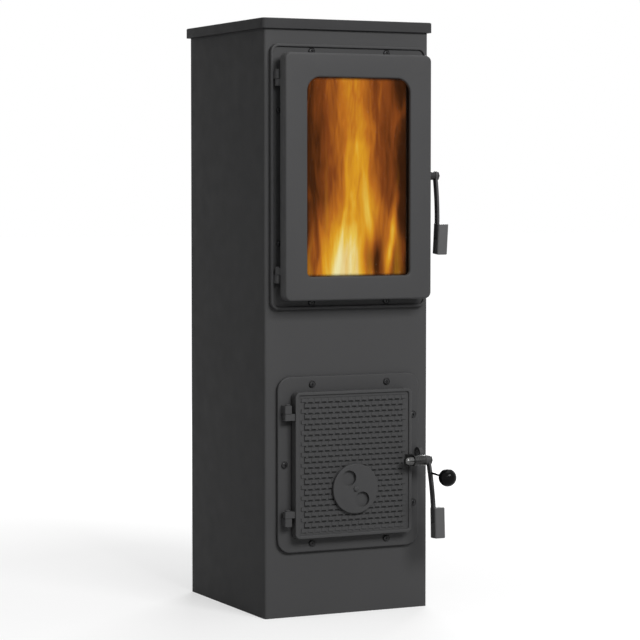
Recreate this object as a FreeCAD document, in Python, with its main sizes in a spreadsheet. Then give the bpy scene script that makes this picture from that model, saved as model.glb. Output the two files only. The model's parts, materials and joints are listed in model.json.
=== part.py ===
"""A slim free-standing workshop stove: sheet casing, cast fire door with a window, cast ash door below.

Millimetres, +Z up, +X to the right, the front faces -Y.  The origin is the middle of the footprint on
the floor.  "Off" in a name is a distance in front of the casing's front face.
"""
import FreeCAD, Part
import Sketcher
import os

doc = FreeCAD.newDocument("workshop_stove")

# Driving dimensions: name, size in millimetres (or degrees, or a count), meaning
DIMENSIONS = [
    ("body_width", 306, "casing, side to side"),
    ("body_depth", 316, "casing, front to back"),
    ("body_height", 1000, "floor to the top of the lid"),
    ("sheet", 3, "casing and back panel sheet"),
    ("bend", 4.5, "outer radius of the casing's bends"),
    ("back_return", 16, "width of the casing's returns at the back"),
    ("fit_gap", 0.2, "room round a plate fitted between walls"),
    ("base_thick", 4, "floor plate"),
    ("lid_thick", 4, "top plate"),
    ("lid_overhang", 6.5, "how far the lid stands out past the casing"),
    ("lid_rim", 17, "height of the lid's turned-down rim"),
    ("lid_wall", 3, "thickness of that rim"),
    ("lid_corner", 8, "corner radius of the lid"),
    ("lid_edge", 2, "rounding of the lid's top edge"),
    ("frame_gasket", 2, "fibre gasket between a door frame and the casing"),
    ("frame_gasket_inset", 4, "how far that gasket stops short of the frame's edge"),
    ("screw_radius", 3, "frame screw shank"),
    ("screw_hole", 3.2, "hole for it"),
    ("screw_head", 5, "button head radius"),
    ("screw_rise", 3.2, "button head height"),
    ("screw_sink", 1.5, "depth of the sunk seat under a frame screw"),
    ("screw_sink_radius", 6.8, "that seat"),
    ("screw_grip", 10, "shank behind the head"),
    ("socket_flats", 4, "hexagon socket, across flats"),
    ("socket_deep", 1.8, "hexagon socket depth"),
    ("rope_squash_gap", 0.3, "room between a rope seal and the edge it closes on"),
    ("pin_radius", 3, "hinge pins"),
    ("pin_room", 0.05, "running room round pins and latch shafts"),
    ("lug_tall", 13.5, "height of a fixed hinge lug"),
    ("door_lug_tall", 11, "height of a door's hinge lug"),
    ("lug_room", 0.6, "room between the lugs of a hinge"),
    ("lug_corner", 2, "upright edges of the lugs"),
    ("pin_head", 4.2, "hinge pin head radius"),
    ("pin_head_tall", 2, "hinge pin head height"),
    ("fire_door_wide", 272, "fire door"),
    ("fire_door_tall", 409, "fire door"),
    ("fire_frame_side", 9, "fire door frame past the door at each side"),
    ("fire_frame_end", 15.5, "fire door frame past the door above and below"),
    ("fire_frame_top", 42.5, "top of that frame below the top of the lid"),
    ("fire_frame_corner", 14, "outer corner radius of the frame"),
    ("fire_frame_floor", 4, "flange of the frame"),
    ("fire_rim_wide", 4.5, "raised rim round the frame"),
    ("fire_rim_tall", 8, "rim height from the frame's back"),
    ("fire_collar_tall", 20, "sealing collar height from the frame's back"),
    ("fire_collar_wall", 4, "sealing collar wall"),
    ("fire_collar_corner", 12, "corner radius at the middle of the collar wall"),
    ("fire_screw_x", 70, "frame screws at top and bottom, from the middle"),
    ("fire_screw_edge", 11.5, "those screws, from the frame's edge"),
    ("fire_screw_side", 17, "side screws, from the frame's edge"),
    ("fire_screw_spread", 110, "side screws, from the door's middle height"),
    ("fire_door_corner", 11, "corner radius of the fire door"),
    ("fire_door_off", 46, "front face of the fire door"),
    ("fire_door_deep", 20, "depth of the fire door"),
    ("fire_door_plate", 6, "front wall of the fire door"),
    ("fire_door_skirt", 5, "side wall of the fire door"),
    ("fire_door_edge", 3.5, "rounding of its front edge"),
    ("fire_seal_inset", 21, "middle of the rope seal, from the door's edge"),
    ("fire_rope_wide", 8, "rope seal of the fire door"),
    ("fire_rope_deep", 7.5, "rope seal of the fire door"),
    ("window_side", 40.5, "door beside the window"),
    ("window_end", 39.75, "door above and below the window"),
    ("window_top_corner", 24, "upper corner radius of the window"),
    ("window_foot_corner", 8, "lower corner radius of the window"),
    ("window_edge", 3, "rounding of the window's front edge"),
    ("glass_lap", 6.5, "glass past the window's edge"),
    ("glass_thick", 4, "ceramic glass"),
    ("glass_seal", 2, "flat seal under the glass"),
    ("glass_seal_wide", 5, "width of that seal"),
    ("glass_room", 0.4, "room round the glass"),
    ("clip_boss", 3, "boss radius for a glass clip screw"),
    ("clip_thick", 2, "glass clip"),
    ("clip_tall", 16, "glass clip"),
    ("clip_reach", 9, "glass clip past the screw, over the glass"),
    ("clip_spread", 105, "glass clips, from the door's middle height"),
    ("clip_screw", 1.5, "glass clip screw shank radius"),
    ("clip_head", 2.6, "glass clip screw head radius"),
    ("clip_head_tall", 2, "glass clip screw head height"),
    ("fire_hinge_off", 17, "fire hinge axis"),
    ("fire_lug_radius", 5, "fire hinge lugs"),
    ("fire_hinge_end", 43, "joint line of a fire hinge, from the door's end"),
    ("latch_shaft", 4, "latch shaft radius"),
    ("fire_latch_off", 31, "fire latch axis"),
    ("fire_latch_rise", 2.5, "fire latch axis above the door's middle"),
    ("bush_wall", 1, "wall of the bush in the door's side"),
    ("bush_shoulder", 2, "shoulder of the bush outside the door"),
    ("fire_bush_long", 12.5, "bush outside the door"),
    ("fire_latch_hang", 3.2, "how far the fire lever hangs forward, degrees"),
    ("tongue_thick", 5, "fire latch tongue"),
    ("tongue_boss", 7.5, "tongue boss radius"),
    ("tongue_from_skirt", 4, "tongue, from the inside of the door's side wall"),
    ("tongue_reach", 17, "tongue behind the latch axis"),
    ("tongue_arm", 5, "height of the tongue's arm"),
    ("tooth_thick", 4.5, "tooth of the tongue"),
    ("tooth_top", 4, "top of the tooth above the axis"),
    ("keeper_room", 0.6, "room between tooth and keeper nose at rest"),
    ("fire_nose_thick", 4, "nose of the fire keeper"),
    ("fire_nose_near", 7, "front of the nose behind the latch axis"),
    ("fire_keeper_cave", 7.5, "depth of the keeper above the nose's tip"),
    ("fire_keeper_arm", 6, "thickness of the fire keeper's arm"),
    ("fire_keeper_wide", 9, "fire keeper"),
    ("lever_thick", 4, "latch levers"),
    ("lever_wide", 11, "latch levers"),
    ("lever_boss", 8, "lever boss radius"),
    ("lever_half", 53.5, "half the length of the lever's bow"),
    ("lever_bulge", 4, "outward bow of the lever"),
    ("washer", 0.3, "room between a lever and its bearing"),
    ("nut_flats", 13, "latch nuts, across flats"),
    ("nut_thick", 3, "latch nuts"),
    ("shaft_end", 0.8, "shaft past its nut"),
    ("shaft_fit", 0.05, "room of a piece fixed on a shaft"),
    ("grip_wide", 19, "latch grips, side to side"),
    ("grip_deep", 20, "latch grips, front to back"),
    ("grip_tall", 52, "latch grips"),
    ("grip_corner", 3, "edge radius of the grips"),
    ("grip_top_edge", 1.5, "rounding of the grips' ends"),
    ("grip_slot_room", 0.35, "room round the lever's end in its grip"),
    ("ash_door_wide", 218, "ash door"),
    ("ash_door_tall", 245.5, "ash door"),
    ("ash_frame_side", 23.5, "ash door frame past the door at each side"),
    ("ash_frame_end", 25, "ash door frame past the door above and below"),
    ("ash_frame_low", 109.75, "underside of that frame above the floor"),
    ("ash_frame_corner", 23, "corner radius of that frame"),
    ("ash_frame_thick", 6, "ash door frame"),
    ("ash_frame_edge", 2, "rounding of its front edge"),
    ("ash_collar_tall", 2.7, "sealing edge above the frame's face"),
    ("ash_collar_wall", 4, "sealing edge"),
    ("ash_collar_corner", 8, "corner radius at the middle of that edge"),
    ("ash_screw_x", 70, "frame screws at top and bottom, from the middle"),
    ("ash_screw_edge", 14.25, "those screws, from the frame's edge"),
    ("ash_screw_side", 11.5, "side screws, from the frame's edge"),
    ("ash_screw_spread", 75.5, "right-hand screws, from the door's middle height"),
    ("ash_door_corner", 9, "corner radius of the ash door"),
    ("ash_door_back", 13, "back of the ash door, off the casing"),
    ("ash_door_field", 12, "thickness of its field"),
    ("ash_door_rim", 15, "thickness at its rim"),
    ("ash_rim_wide", 5.4, "rim of the ash door"),
    ("ash_rim_round", 1.3, "rounding of that rim"),
    ("ash_seal_inset", 14, "middle of the rope groove, from the door's edge"),
    ("ash_rope_wide", 8, "rope seal of the ash door"),
    ("ash_rope_proud", 2, "rope standing out of its groove"),
    ("ash_groove_deep", 5, "rope groove"),
    ("pad_wide", 9.4, "waffle pads on the field of the ash door"),
    ("pad_tall", 6.8, "waffle pads"),
    ("pad_rise", 1.5, "waffle pads above the field"),
    ("pad_slope", 20, "slope of their sides, degrees"),
    ("pad_pitch", 12.5, "waffle pads in a row"),
    ("pad_row", 9.1, "rows of waffle pads"),
    ("pad_margin", 3.5, "plain field between the rim and the pads, at least"),
    ("ash_hinge_out", 11, "ash hinge axis outside the door's edge"),
    ("ash_hinge_off", 19, "ash hinge axis"),
    ("ash_lug_radius", 6, "ash hinge lugs"),
    ("ash_lug_left", 7, "ash hinge lugs, left of the axis"),
    ("ash_hinge_end", 35.5, "joint line of an ash hinge, from the door's end"),
    ("seat_radius", 41, "plain seat of the air rosette"),
    ("seat_rise", 2, "that seat above the field"),
    ("rosette_drop", 42.5, "rosette below the door's middle"),
    ("rosette_radius", 42, "air rosette"),
    ("rosette_thick", 6, "air rosette"),
    ("rosette_edge", 1.5, "rounding of the rosette"),
    ("rosette_gap", 0.3, "room under the rosette"),
    ("rosette_ring", 22.2, "middle of the air holes, from the rosette's middle"),
    ("rosette_hole", 13, "air holes in the rosette"),
    ("rosette_turn", 124, "direction of its first hole, degrees"),
    ("port_hole", 12.4, "air holes in the door"),
    ("rosette_bolt", 3, "rosette bolt radius"),
    ("rosette_head", 4.5, "rosette bolt head radius"),
    ("rosette_head_tall", 3, "rosette bolt head"),
    ("rosette_nut_flats", 10, "rosette nut"),
    ("rosette_nut_thick", 5, "rosette nut"),
    ("rosette_bolt_end", 1, "rosette bolt past its nut"),
    ("ash_latch_off", 46, "ash latch axis"),
    ("ash_latch_rise", 1, "ash latch axis above the door's middle"),
    ("barrel_radius", 9, "bearing barrel of the ash latch"),
    ("barrel_inside", 7, "barrel over the door, from the door's edge"),
    ("barrel_outside", 14.5, "barrel past the door's edge"),
    ("barrel_web", 10, "web under the barrel"),
    ("foot_wide", 12, "bearing foot on the door"),
    ("foot_tall", 19, "bearing foot on the door"),
    ("foot_thick", 3, "bearing foot on the door"),
    ("cap_radius", 6.8, "domed cap of the latch bolt"),
    ("cap_long", 16.5, "domed cap of the latch bolt"),
    ("claw_thick", 5, "ash latch claw"),
    ("claw_boss", 8.5, "claw boss radius"),
    ("claw_reach", 31.5, "claw behind the latch axis"),
    ("claw_tooth", 5, "tooth of the claw"),
    ("claw_arm", 7, "height of the claw's arm"),
    ("claw_arm_top", 3, "top of the claw's arm above the axis"),
    ("claw_top", 7.4, "top of the tooth above the axis"),
    ("arch_centre", 28.5, "keeper arch, behind the latch axis"),
    ("arch_inner", 6.5, "keeper arch"),
    ("arch_outer", 11.5, "keeper arch"),
    ("arch_wide", 7, "keeper arch"),
    ("arch_aside", 2, "middle of the arch to the right of the claw's middle"),
    ("arch_leg", 4.5, "leg of the keeper on the frame"),
    ("arch_leg_drop", 12, "length of that leg below the arch"),
    ("ash_latch_hang", 11, "how far the ash lever hangs forward, degrees"),
    ("rod_radius", 2, "ball rod"),
    ("rod_along", 23, "ball rod, along the lever from the latch axis"),
    ("rod_long", 41, "ball rod to the ball's neck"),
    ("rod_in_ball", 9, "rod inside the ball"),
    ("rod_dip", 2, "slope of the ball rod, degrees"),
    ("ball_radius", 15, "ball knob"),
    ("ball_flat", 5, "radius of the flat at the ball's neck"),
    ("shelf_drop", 32.5, "grate shelf below the fire door's frame"),
    ("shelf_thick", 5, "grate shelf"),
    ("rail_leg", 24, "shelf angle"),
    ("rail_thick", 3, "shelf angle"),
    ("grate_hole_wide", 150, "hole in the grate shelf"),
    ("grate_hole_deep", 170, "hole in the grate shelf"),
    ("grate_lap", 14, "grate flange round that hole"),
    ("grate_flange", 5, "grate flange"),
    ("grate_drop", 10, "grate below its flange"),
    ("grate_fit", 1, "room round the grate in its hole"),
    ("grate_slot", 9, "grate slots"),
    ("grate_pitch", 18, "grate slots"),
    ("grate_slots", 7, "how many grate slots"),
    ("grate_slot_long", 136, "grate slots"),
    ("liner_thick", 22, "fire bricks"),
    ("liner_short", 95, "fire bricks shorter than the fire door's frame"),
    ("liner_gap", 0.5, "room round a fire brick"),
    ("liner_front", 12, "side bricks, behind the casing's front"),
    ("baffle_thick", 12, "baffle plate"),
    ("baffle_gap", 95, "smoke way in front of the baffle"),
    ("flue_drop", 95, "flue axis below the lid's top"),
    ("flue_radius", 59, "flue spigot outside"),
    ("flue_wall", 2, "flue spigot"),
    ("flue_long", 50, "flue spigot behind its flange"),
    ("flange_radius", 78, "flue flange"),
    ("flange_thick", 3, "flue flange"),
    ("flange_screws", 68, "flue screws, from the flue axis"),
    ("small_screw", 2, "panel and flue screw shank radius"),
    ("small_hole", 2.1, "hole for it"),
    ("small_head", 4, "panel and flue screw head radius"),
    ("small_rise", 2.2, "panel and flue screw head height"),
    ("panel_screws", 4, "back panel screws in one row"),
    ("panel_screw_end", 70, "first back panel screw, from either end"),
    ("panel_screw_in", 10.5, "back panel screws, from the casing's side"),
    ("ash_shelf_rise", 36.25, "ash shelf above the underside of the ash door's frame"),
    ("ash_shelf_thick", 3, "ash shelf"),
    ("pan_side", 8, "room beside the ash pan in the mouth"),
    ("pan_short", 96, "ash pan shorter than the casing is deep"),
    ("pan_tall", 85, "ash pan"),
    ("pan_wall", 1.5, "ash pan sheet"),
    ("pan_corner", 6, "ash pan corners"),
    ("pan_clear", 22, "room behind the ash pan"),
    ("pan_gap", 0.3, "room under the ash pan"),
    ("pan_handle", 3, "handle rod radius"),
    ("pan_handle_wide", 70, "handle, between its legs"),
    ("pan_handle_out", 22, "handle in front of the pan"),
    ("pan_handle_down", 25, "handle below the pan's edge"),
]

sheet = doc.addObject("Spreadsheet::Sheet", "dims")
for row, (name, size, meaning) in enumerate(DIMENSIONS, start=1):
    sheet.set(f"A{row}", meaning)
    sheet.set(f"B{row}", str(size))
    sheet.setAlias(f"B{row}", name)
doc.recompute()

NODES = []


def num(expression):
    """The value of an expression on the sheet."""
    return float(sheet.evalExpression(expression))


def off(expression):
    """Height over the XZ plane of something that far in front of the casing."""
    return f"dims.body_depth / 2 + {expression}"


def front(expression):
    """Y of something that far in front of the casing."""
    return f"-(dims.body_depth / 2 + {expression})"


class Piece:
    """One sub-part: a body with sketches on its own origin planes."""

    def __init__(self, label, kept=True):
        self.body = doc.addObject("PartDesign::Body", label)
        self.body.Label = label
        if kept:
            NODES.append(self.body)

    def plane(self, role):
        return next(item for item in self.body.Origin.OriginFeatures if item.Role == role)

    def sketch(self, role, height="0"):
        item = self.body.newObject("Sketcher::SketchObject", self.body.Name + "_outline")
        item.AttachmentSupport = [(self.plane(role), "")]
        item.MapMode = "FlatFace"
        item.setExpression("AttachmentOffset.Base.z", height)
        return item

    def feature(self, kind, profile, length, reverse=False):
        item = self.body.newObject("PartDesign::" + kind, self.body.Name + "_" + kind.lower())
        item.Profile = profile
        item.Reversed = reverse
        item.setExpression("Length", length)
        profile.Visibility = False
        doc.recompute()
        return item

    def pad(self, profile, length, reverse=False):
        return self.feature("Pad", profile, length, reverse)

    def pocket(self, profile, length, reverse=False):
        before = self.body.Shape.Volume
        item = self.feature("Pocket", profile, length, reverse)
        if not self.body.Shape.Volume < before:
            raise ValueError("a cut misses the solid in " + self.body.Label)
        return item

    def turn(self, profile, axis, angle="360"):
        item = self.body.newObject("PartDesign::Revolution", self.body.Name + "_turned")
        item.Profile = profile
        item.ReferenceAxis = axis
        item.setExpression("Angle", angle)
        profile.Visibility = False
        doc.recompute()
        return item

    def round_edges(self, radius, wanted):
        tip = self.body.Tip
        names = [f"Edge{i}" for i, edge in enumerate(tip.Shape.Edges, start=1) if wanted(edge)]
        if not names:
            raise ValueError("no edge to round on " + self.body.Label)
        item = self.body.newObject("PartDesign::Fillet", self.body.Name + "_rounding")
        item.Base = (tip, names)
        item.setExpression("Radius", radius)
        doc.recompute()
        return item

    def place(self, x="0", y="0", z="0", tilt=None):
        """Puts the piece at a point, tilted about X by an angle."""
        if tilt is not None:
            self.body.Placement.Rotation = FreeCAD.Rotation(FreeCAD.Vector(1, 0, 0), 1)
            self.body.setExpression("Placement.Rotation.Angle", tilt)
        for key, value in (("x", x), ("y", y), ("z", z)):
            self.body.setExpression("Placement.Base." + key, value)


def locate(sketch, geometry, point, x, y):
    """Ties a sketch point to its place."""
    for kind, value in (("DistanceX", x), ("DistanceY", y)):
        index = sketch.addConstraint(Sketcher.Constraint(kind, -1, 1, geometry, point, num(value)))
        sketch.setExpression(f"Constraints[{index}]", value)


def circle(sketch, x, y, radius):
    centre = FreeCAD.Vector(num(x), num(y), 0)
    index = sketch.addGeometry(Part.Circle(centre, FreeCAD.Vector(0, 0, 1), num(radius)), False)
    locate(sketch, index, 3, x, y)
    size = sketch.addConstraint(Sketcher.Constraint("Radius", index, num(radius)))
    sketch.setExpression(f"Constraints[{size}]", radius)


def polygon(sketch, points):
    corners = [FreeCAD.Vector(num(x), num(y), 0) for x, y in points]
    first = sketch.GeometryCount
    count = len(points)
    for i in range(count):
        sketch.addGeometry(Part.LineSegment(corners[i], corners[(i + 1) % count]), False)
    for i in range(count):
        sketch.addConstraint(Sketcher.Constraint("Coincident", first + i, 2, first + (i + 1) % count, 1))
        locate(sketch, first + i, 1, *points[i])


def rectangle(sketch, left, low, right, high):
    polygon(sketch, [(left, low), (right, low), (right, high), (left, high)])


def rounded(sketch, x, y, wide, tall, corner, foot_corner=None):
    """A rectangle about a centre with round corners; the two lower ones may differ."""
    foot_corner = foot_corner or corner
    left, right = f"{x} - ({wide}) / 2", f"{x} + ({wide}) / 2"
    low, high = f"{y} - ({tall}) / 2", f"{y} + ({tall}) / 2"
    corners = [
        (left, low, "+", "+", foot_corner, 180),
        (right, low, "-", "+", foot_corner, 270),
        (right, high, "-", "-", corner, 0),
        (left, high, "+", "-", corner, 90),
    ]
    first = sketch.GeometryCount
    arcs = []
    for edge_x, edge_y, sign_x, sign_y, radius, start in corners:
        centre_x, centre_y = f"{edge_x} {sign_x} ({radius})", f"{edge_y} {sign_y} ({radius})"
        centre = FreeCAD.Vector(num(centre_x), num(centre_y), 0)
        ring = Part.Circle(centre, FreeCAD.Vector(0, 0, 1), num(radius))
        begin, end = FreeCAD.Units.Quantity(start, "deg"), FreeCAD.Units.Quantity(start + 90, "deg")
        arc = Part.ArcOfCircle(ring, begin.getValueAs("rad").Value, end.getValueAs("rad").Value)
        arcs.append((arc, centre_x, centre_y, radius))
    for arc, *_ in arcs:
        sketch.addGeometry(arc, False)
    for i in range(4):
        here, there = arcs[i][0], arcs[(i + 1) % 4][0]
        sketch.addGeometry(Part.LineSegment(here.EndPoint, there.StartPoint), False)
    for i in range(4):
        sketch.addConstraint(Sketcher.Constraint("Tangent", first + i, 2, first + 4 + i, 1))
        sketch.addConstraint(Sketcher.Constraint("Tangent", first + 4 + i, 2, first + (i + 1) % 4, 1))
    for i in range(4):
        flat = "Horizontal" if i in (0, 2) else "Vertical"
        sketch.addConstraint(Sketcher.Constraint(flat, first + 4 + i))
        size = sketch.addConstraint(Sketcher.Constraint("Radius", first + i, num(arcs[i][3])))
        sketch.setExpression(f"Constraints[{size}]", arcs[i][3])
    locate(sketch, first, 3, arcs[0][1], arcs[0][2])
    locate(sketch, first + 2, 3, arcs[2][1], arcs[2][2])


def hexagon(sketch, x, y, flats):
    corner = f"({flats}) / sqrt(3)"
    points = [(f"{x} + {corner} * cos({60 * i})", f"{y} + {corner} * sin({60 * i})") for i in range(6)]
    polygon(sketch, points)


def group(label, blank, places, kept=True):
    """Separate copies of a blank as one object, each at its own place and turn."""
    solids = []
    for position, turn in places:
        copy = blank.body.Shape.copy()
        copy.Placement = FreeCAD.Placement(FreeCAD.Vector(*position), turn).multiply(copy.Placement)
        solids.append(copy)
    node = doc.addObject("Part::Feature", label)
    node.Label = label
    node.Shape = Part.makeCompound(solids)
    if kept:
        NODES.append(node)
    return node


FACING_FRONT = FreeCAD.Rotation(FreeCAD.Vector(1, 0, 0), 90)
FACING_BACK = FreeCAD.Rotation(FreeCAD.Vector(1, 0, 0), -90)
UPRIGHT = FreeCAD.Rotation()


def level(edge, height, tolerance=1e-4):
    """True for an edge that lies wholly at that height."""
    box = edge.BoundBox
    return abs(box.ZMin - height) < tolerance and abs(box.ZMax - height) < tolerance


def fronted(edge, y, tolerance=1e-4):
    """True for an edge that lies wholly in the plane of that Y."""
    box = edge.BoundBox
    return abs(box.YMin - y) < tolerance and abs(box.YMax - y) < tolerance


# How much of a height or radius a rounding takes
BUTTON_ROUND = 0.72
BOLT_ROUND = 0.8
CAP_ROUND = 0.85
SLOT_ROUND = 0.45
# How far a cut or a search reaches past what it is meant for, millimetres
PAST = 1

# Places shared by several pieces
INNER_WIDE = "(dims.body_width - 2 * dims.sheet)"
INNER_DEEP = "(dims.body_depth - 2 * dims.sheet)"
INNER_BEND = "(dims.bend - dims.sheet)"
CASING_TOP = "(dims.body_height - dims.lid_thick)"
PANEL_FRONT = "(dims.body_depth / 2 - 2 * dims.sheet)"
FLUE_HEIGHT = "(dims.body_height - dims.flue_drop)"

FIRE_FRAME_WIDE = "(dims.fire_door_wide + 2 * dims.fire_frame_side)"
FIRE_FRAME_TALL = "(dims.fire_door_tall + 2 * dims.fire_frame_end)"
FIRE_CENTRE = f"(dims.body_height - dims.fire_frame_top - {FIRE_FRAME_TALL} / 2)"
FIRE_HINGE_X = "(dims.fire_door_wide / 2)"
FIRE_LUG_RISE = "(dims.fire_door_tall / 2 - dims.fire_hinge_end)"
FIRE_HINGES = (FIRE_LUG_RISE, FIRE_CENTRE)
FIRE_SEAL_WIDE = "(dims.fire_door_wide - 2 * dims.fire_seal_inset)"
FIRE_SEAL_TALL = "(dims.fire_door_tall - 2 * dims.fire_seal_inset)"
FIRE_MOUTH_WIDE = f"({FIRE_SEAL_WIDE} - dims.fire_collar_wall)"
FIRE_MOUTH_TALL = f"({FIRE_SEAL_TALL} - dims.fire_collar_wall)"
FIRE_MOUTH_CORNER = "(dims.fire_collar_corner - dims.fire_collar_wall / 2)"
FIRE_FACE = "(dims.frame_gasket + dims.fire_frame_floor)"
FIRE_COLLAR_TOP = "(dims.frame_gasket + dims.fire_collar_tall)"
FIRE_ROPE_SEAT = f"({FIRE_COLLAR_TOP} + dims.rope_squash_gap + dims.fire_rope_deep)"
FIRE_PLATE_BACK = "(dims.fire_door_off - dims.fire_door_plate)"
FIRE_DOOR_BACK = "(dims.fire_door_off - dims.fire_door_deep)"

ASH_FRAME_WIDE = "(dims.ash_door_wide + 2 * dims.ash_frame_side)"
ASH_FRAME_TALL = "(dims.ash_door_tall + 2 * dims.ash_frame_end)"
ASH_CENTRE = f"(dims.ash_frame_low + {ASH_FRAME_TALL} / 2)"
ASH_HINGE_X = "(dims.ash_door_wide / 2 + dims.ash_hinge_out)"
ASH_LUG_RISE = "(dims.ash_door_tall / 2 - dims.ash_hinge_end)"
ASH_HINGES = (ASH_LUG_RISE, ASH_CENTRE)
ASH_SEAL_WIDE = "(dims.ash_door_wide - 2 * dims.ash_seal_inset)"
ASH_SEAL_TALL = "(dims.ash_door_tall - 2 * dims.ash_seal_inset)"
ASH_MOUTH_WIDE = f"({ASH_SEAL_WIDE} - dims.ash_collar_wall)"
ASH_MOUTH_TALL = f"({ASH_SEAL_TALL} - dims.ash_collar_wall)"
ASH_MOUTH_CORNER = "(dims.ash_collar_corner - dims.ash_collar_wall / 2)"
ASH_FACE = "(dims.frame_gasket + dims.ash_frame_thick)"
ASH_FIELD = "(dims.ash_door_back + dims.ash_door_field)"
ASH_RIM = "(dims.ash_door_back + dims.ash_door_rim)"


def fire_screw_places():
    """Frame screws of the fire door: two above, two below, two at each side."""
    rise = f"{FIRE_FRAME_TALL} / 2 - dims.fire_screw_edge"
    side = f"{FIRE_FRAME_WIDE} / 2 - dims.fire_screw_side"
    places = []
    for s in (-1, 1):
        for t in (-1, 1):
            places.append((f"{s} * dims.fire_screw_x", f"{FIRE_CENTRE} + {t} * ({rise})"))
            places.append((f"{s} * ({side})", f"{FIRE_CENTRE} + {t} * dims.fire_screw_spread"))
    return places


def ash_screw_places():
    """Frame screws of the ash door: two above, two below, one at the left, two at the right."""
    rise = f"{ASH_FRAME_TALL} / 2 - dims.ash_screw_edge"
    side = f"{ASH_FRAME_WIDE} / 2 - dims.ash_screw_side"
    places = [(f"{s} * dims.ash_screw_x", f"{ASH_CENTRE} + {t} * ({rise})") for s in (-1, 1) for t in (-1, 1)]
    places.append((f"-({side})", ASH_CENTRE))
    places += [(side, f"{ASH_CENTRE} + {t} * dims.ash_screw_spread") for t in (-1, 1)]
    return places


def panel_screw_places():
    """Back panel screws: a row in each return of the casing."""
    count = int(num("dims.panel_screws"))
    span = f"({CASING_TOP} - 2 * dims.panel_screw_end)"
    across = "(dims.body_width / 2 - dims.panel_screw_in)"
    heights = [f"dims.panel_screw_end + {span} * {i} / {count - 1}" for i in range(count)]
    return [(f"{s} * {across}", height) for s in (-1, 1) for height in heights]


def flue_screw_places():
    """Flue flange screws: four, on the diagonals."""
    diagonal = "dims.flange_screws / sqrt(2)"
    return [(f"{s} * {diagonal}", f"{FLUE_HEIGHT} + {t} * {diagonal}") for s in (-1, 1) for t in (-1, 1)]


def drill(piece, places, radius, start, depth, reverse=False):
    """Holes along Y, from a plane in front of (or behind) what they go through."""
    outline = piece.sketch("XZ_Plane", start)
    for x, z in places:
        circle(outline, x, z, radius)
    return piece.pocket(outline, depth, reverse)


def button_screw(label, radius, head, rise, grip, socket=True):
    """A button-head screw, head up on the XY plane."""
    screw = Piece(label, kept=False)
    head_outline = screw.sketch("XY_Plane")
    circle(head_outline, "0", "0", head)
    screw.pad(head_outline, rise)
    top = num(rise)
    screw.round_edges(f"{BUTTON_ROUND} * ({rise})", lambda edge: level(edge, top))
    shank = screw.sketch("XY_Plane")
    circle(shank, "0", "0", radius)
    screw.pad(shank, grip, reverse=True)
    if socket:
        hollow = screw.sketch("XY_Plane", rise)
        hexagon(hollow, "0", "0", "dims.socket_flats")
        screw.pocket(hollow, "dims.socket_deep")
    return screw


# Casing


def casing():
    """One sheet folded round the front and sides, with narrow returns at the back."""
    piece = Piece("casing")
    outside = piece.sketch("XY_Plane")
    rounded(outside, "0", "0", "dims.body_width", "dims.body_depth", "dims.bend")
    piece.pad(outside, CASING_TOP)
    inside = piece.sketch("XY_Plane")
    rounded(inside, "0", "0", INNER_WIDE, INNER_DEEP, INNER_BEND)
    piece.pocket(inside, CASING_TOP, reverse=True)
    half_back = "(dims.body_width / 2 - dims.back_return)"
    back = piece.sketch("XZ_Plane", "-dims.body_depth / 2")
    rectangle(back, f"-{half_back}", "0", half_back, CASING_TOP)
    piece.pocket(back, "dims.sheet", reverse=True)
    mouths = piece.sketch("XZ_Plane", off("0"))
    rounded(mouths, "0", FIRE_CENTRE, FIRE_MOUTH_WIDE, FIRE_MOUTH_TALL, FIRE_MOUTH_CORNER)
    rounded(mouths, "0", ASH_CENTRE, ASH_MOUTH_WIDE, ASH_MOUTH_TALL, ASH_MOUTH_CORNER)
    piece.pocket(mouths, "dims.sheet")
    drill(piece, fire_screw_places() + ash_screw_places(), "dims.screw_hole", off("0"), "dims.sheet")
    drill(piece, panel_screw_places(), "dims.small_hole", "-dims.body_depth / 2", "dims.sheet", reverse=True)


def back_panel():
    """Flat panel behind the returns, with the flue hole."""
    piece = Piece("back_panel")
    half = f"({INNER_WIDE} / 2 - {INNER_BEND})"
    outline = piece.sketch("XZ_Plane", f"-{PANEL_FRONT} - dims.sheet")
    rectangle(outline, f"-{half}", "dims.base_thick", half, f"{CASING_TOP} - dims.fit_gap")
    circle(outline, "0", FLUE_HEIGHT, "dims.flue_radius + dims.fit_gap")
    piece.pad(outline, "dims.sheet")
    behind = f"-{PANEL_FRONT} - dims.sheet"
    places = panel_screw_places() + flue_screw_places()
    drill(piece, places, "dims.small_hole", behind, "dims.sheet", reverse=True)


def base_plate():
    piece = Piece("base_plate")
    outline = piece.sketch("XY_Plane")
    gap = "2 * dims.fit_gap"
    rounded(outline, "0", "0", f"{INNER_WIDE} - {gap}", f"{INNER_DEEP} - {gap}", INNER_BEND)
    piece.pad(outline, "dims.base_thick")


def top_plate():
    """Folded lid that drops over the casing."""
    piece = Piece("top_plate")
    wide, deep = "(dims.body_width + 2 * dims.lid_overhang)", "(dims.body_depth + 2 * dims.lid_overhang)"
    outline = piece.sketch("XY_Plane", "dims.body_height - dims.lid_rim")
    rounded(outline, "0", "0", wide, deep, "dims.lid_corner")
    piece.pad(outline, "dims.lid_rim")
    top = num("dims.body_height")
    piece.round_edges("dims.lid_edge", lambda edge: level(edge, top))
    hollow = piece.sketch("XY_Plane", "dims.body_height - dims.lid_rim")
    walls = "2 * dims.lid_wall"
    rounded(hollow, "0", "0", f"{wide} - {walls}", f"{deep} - {walls}", "dims.lid_corner - dims.lid_wall")
    piece.pocket(hollow, "dims.lid_rim - dims.lid_thick", reverse=True)


# Door frames


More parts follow.
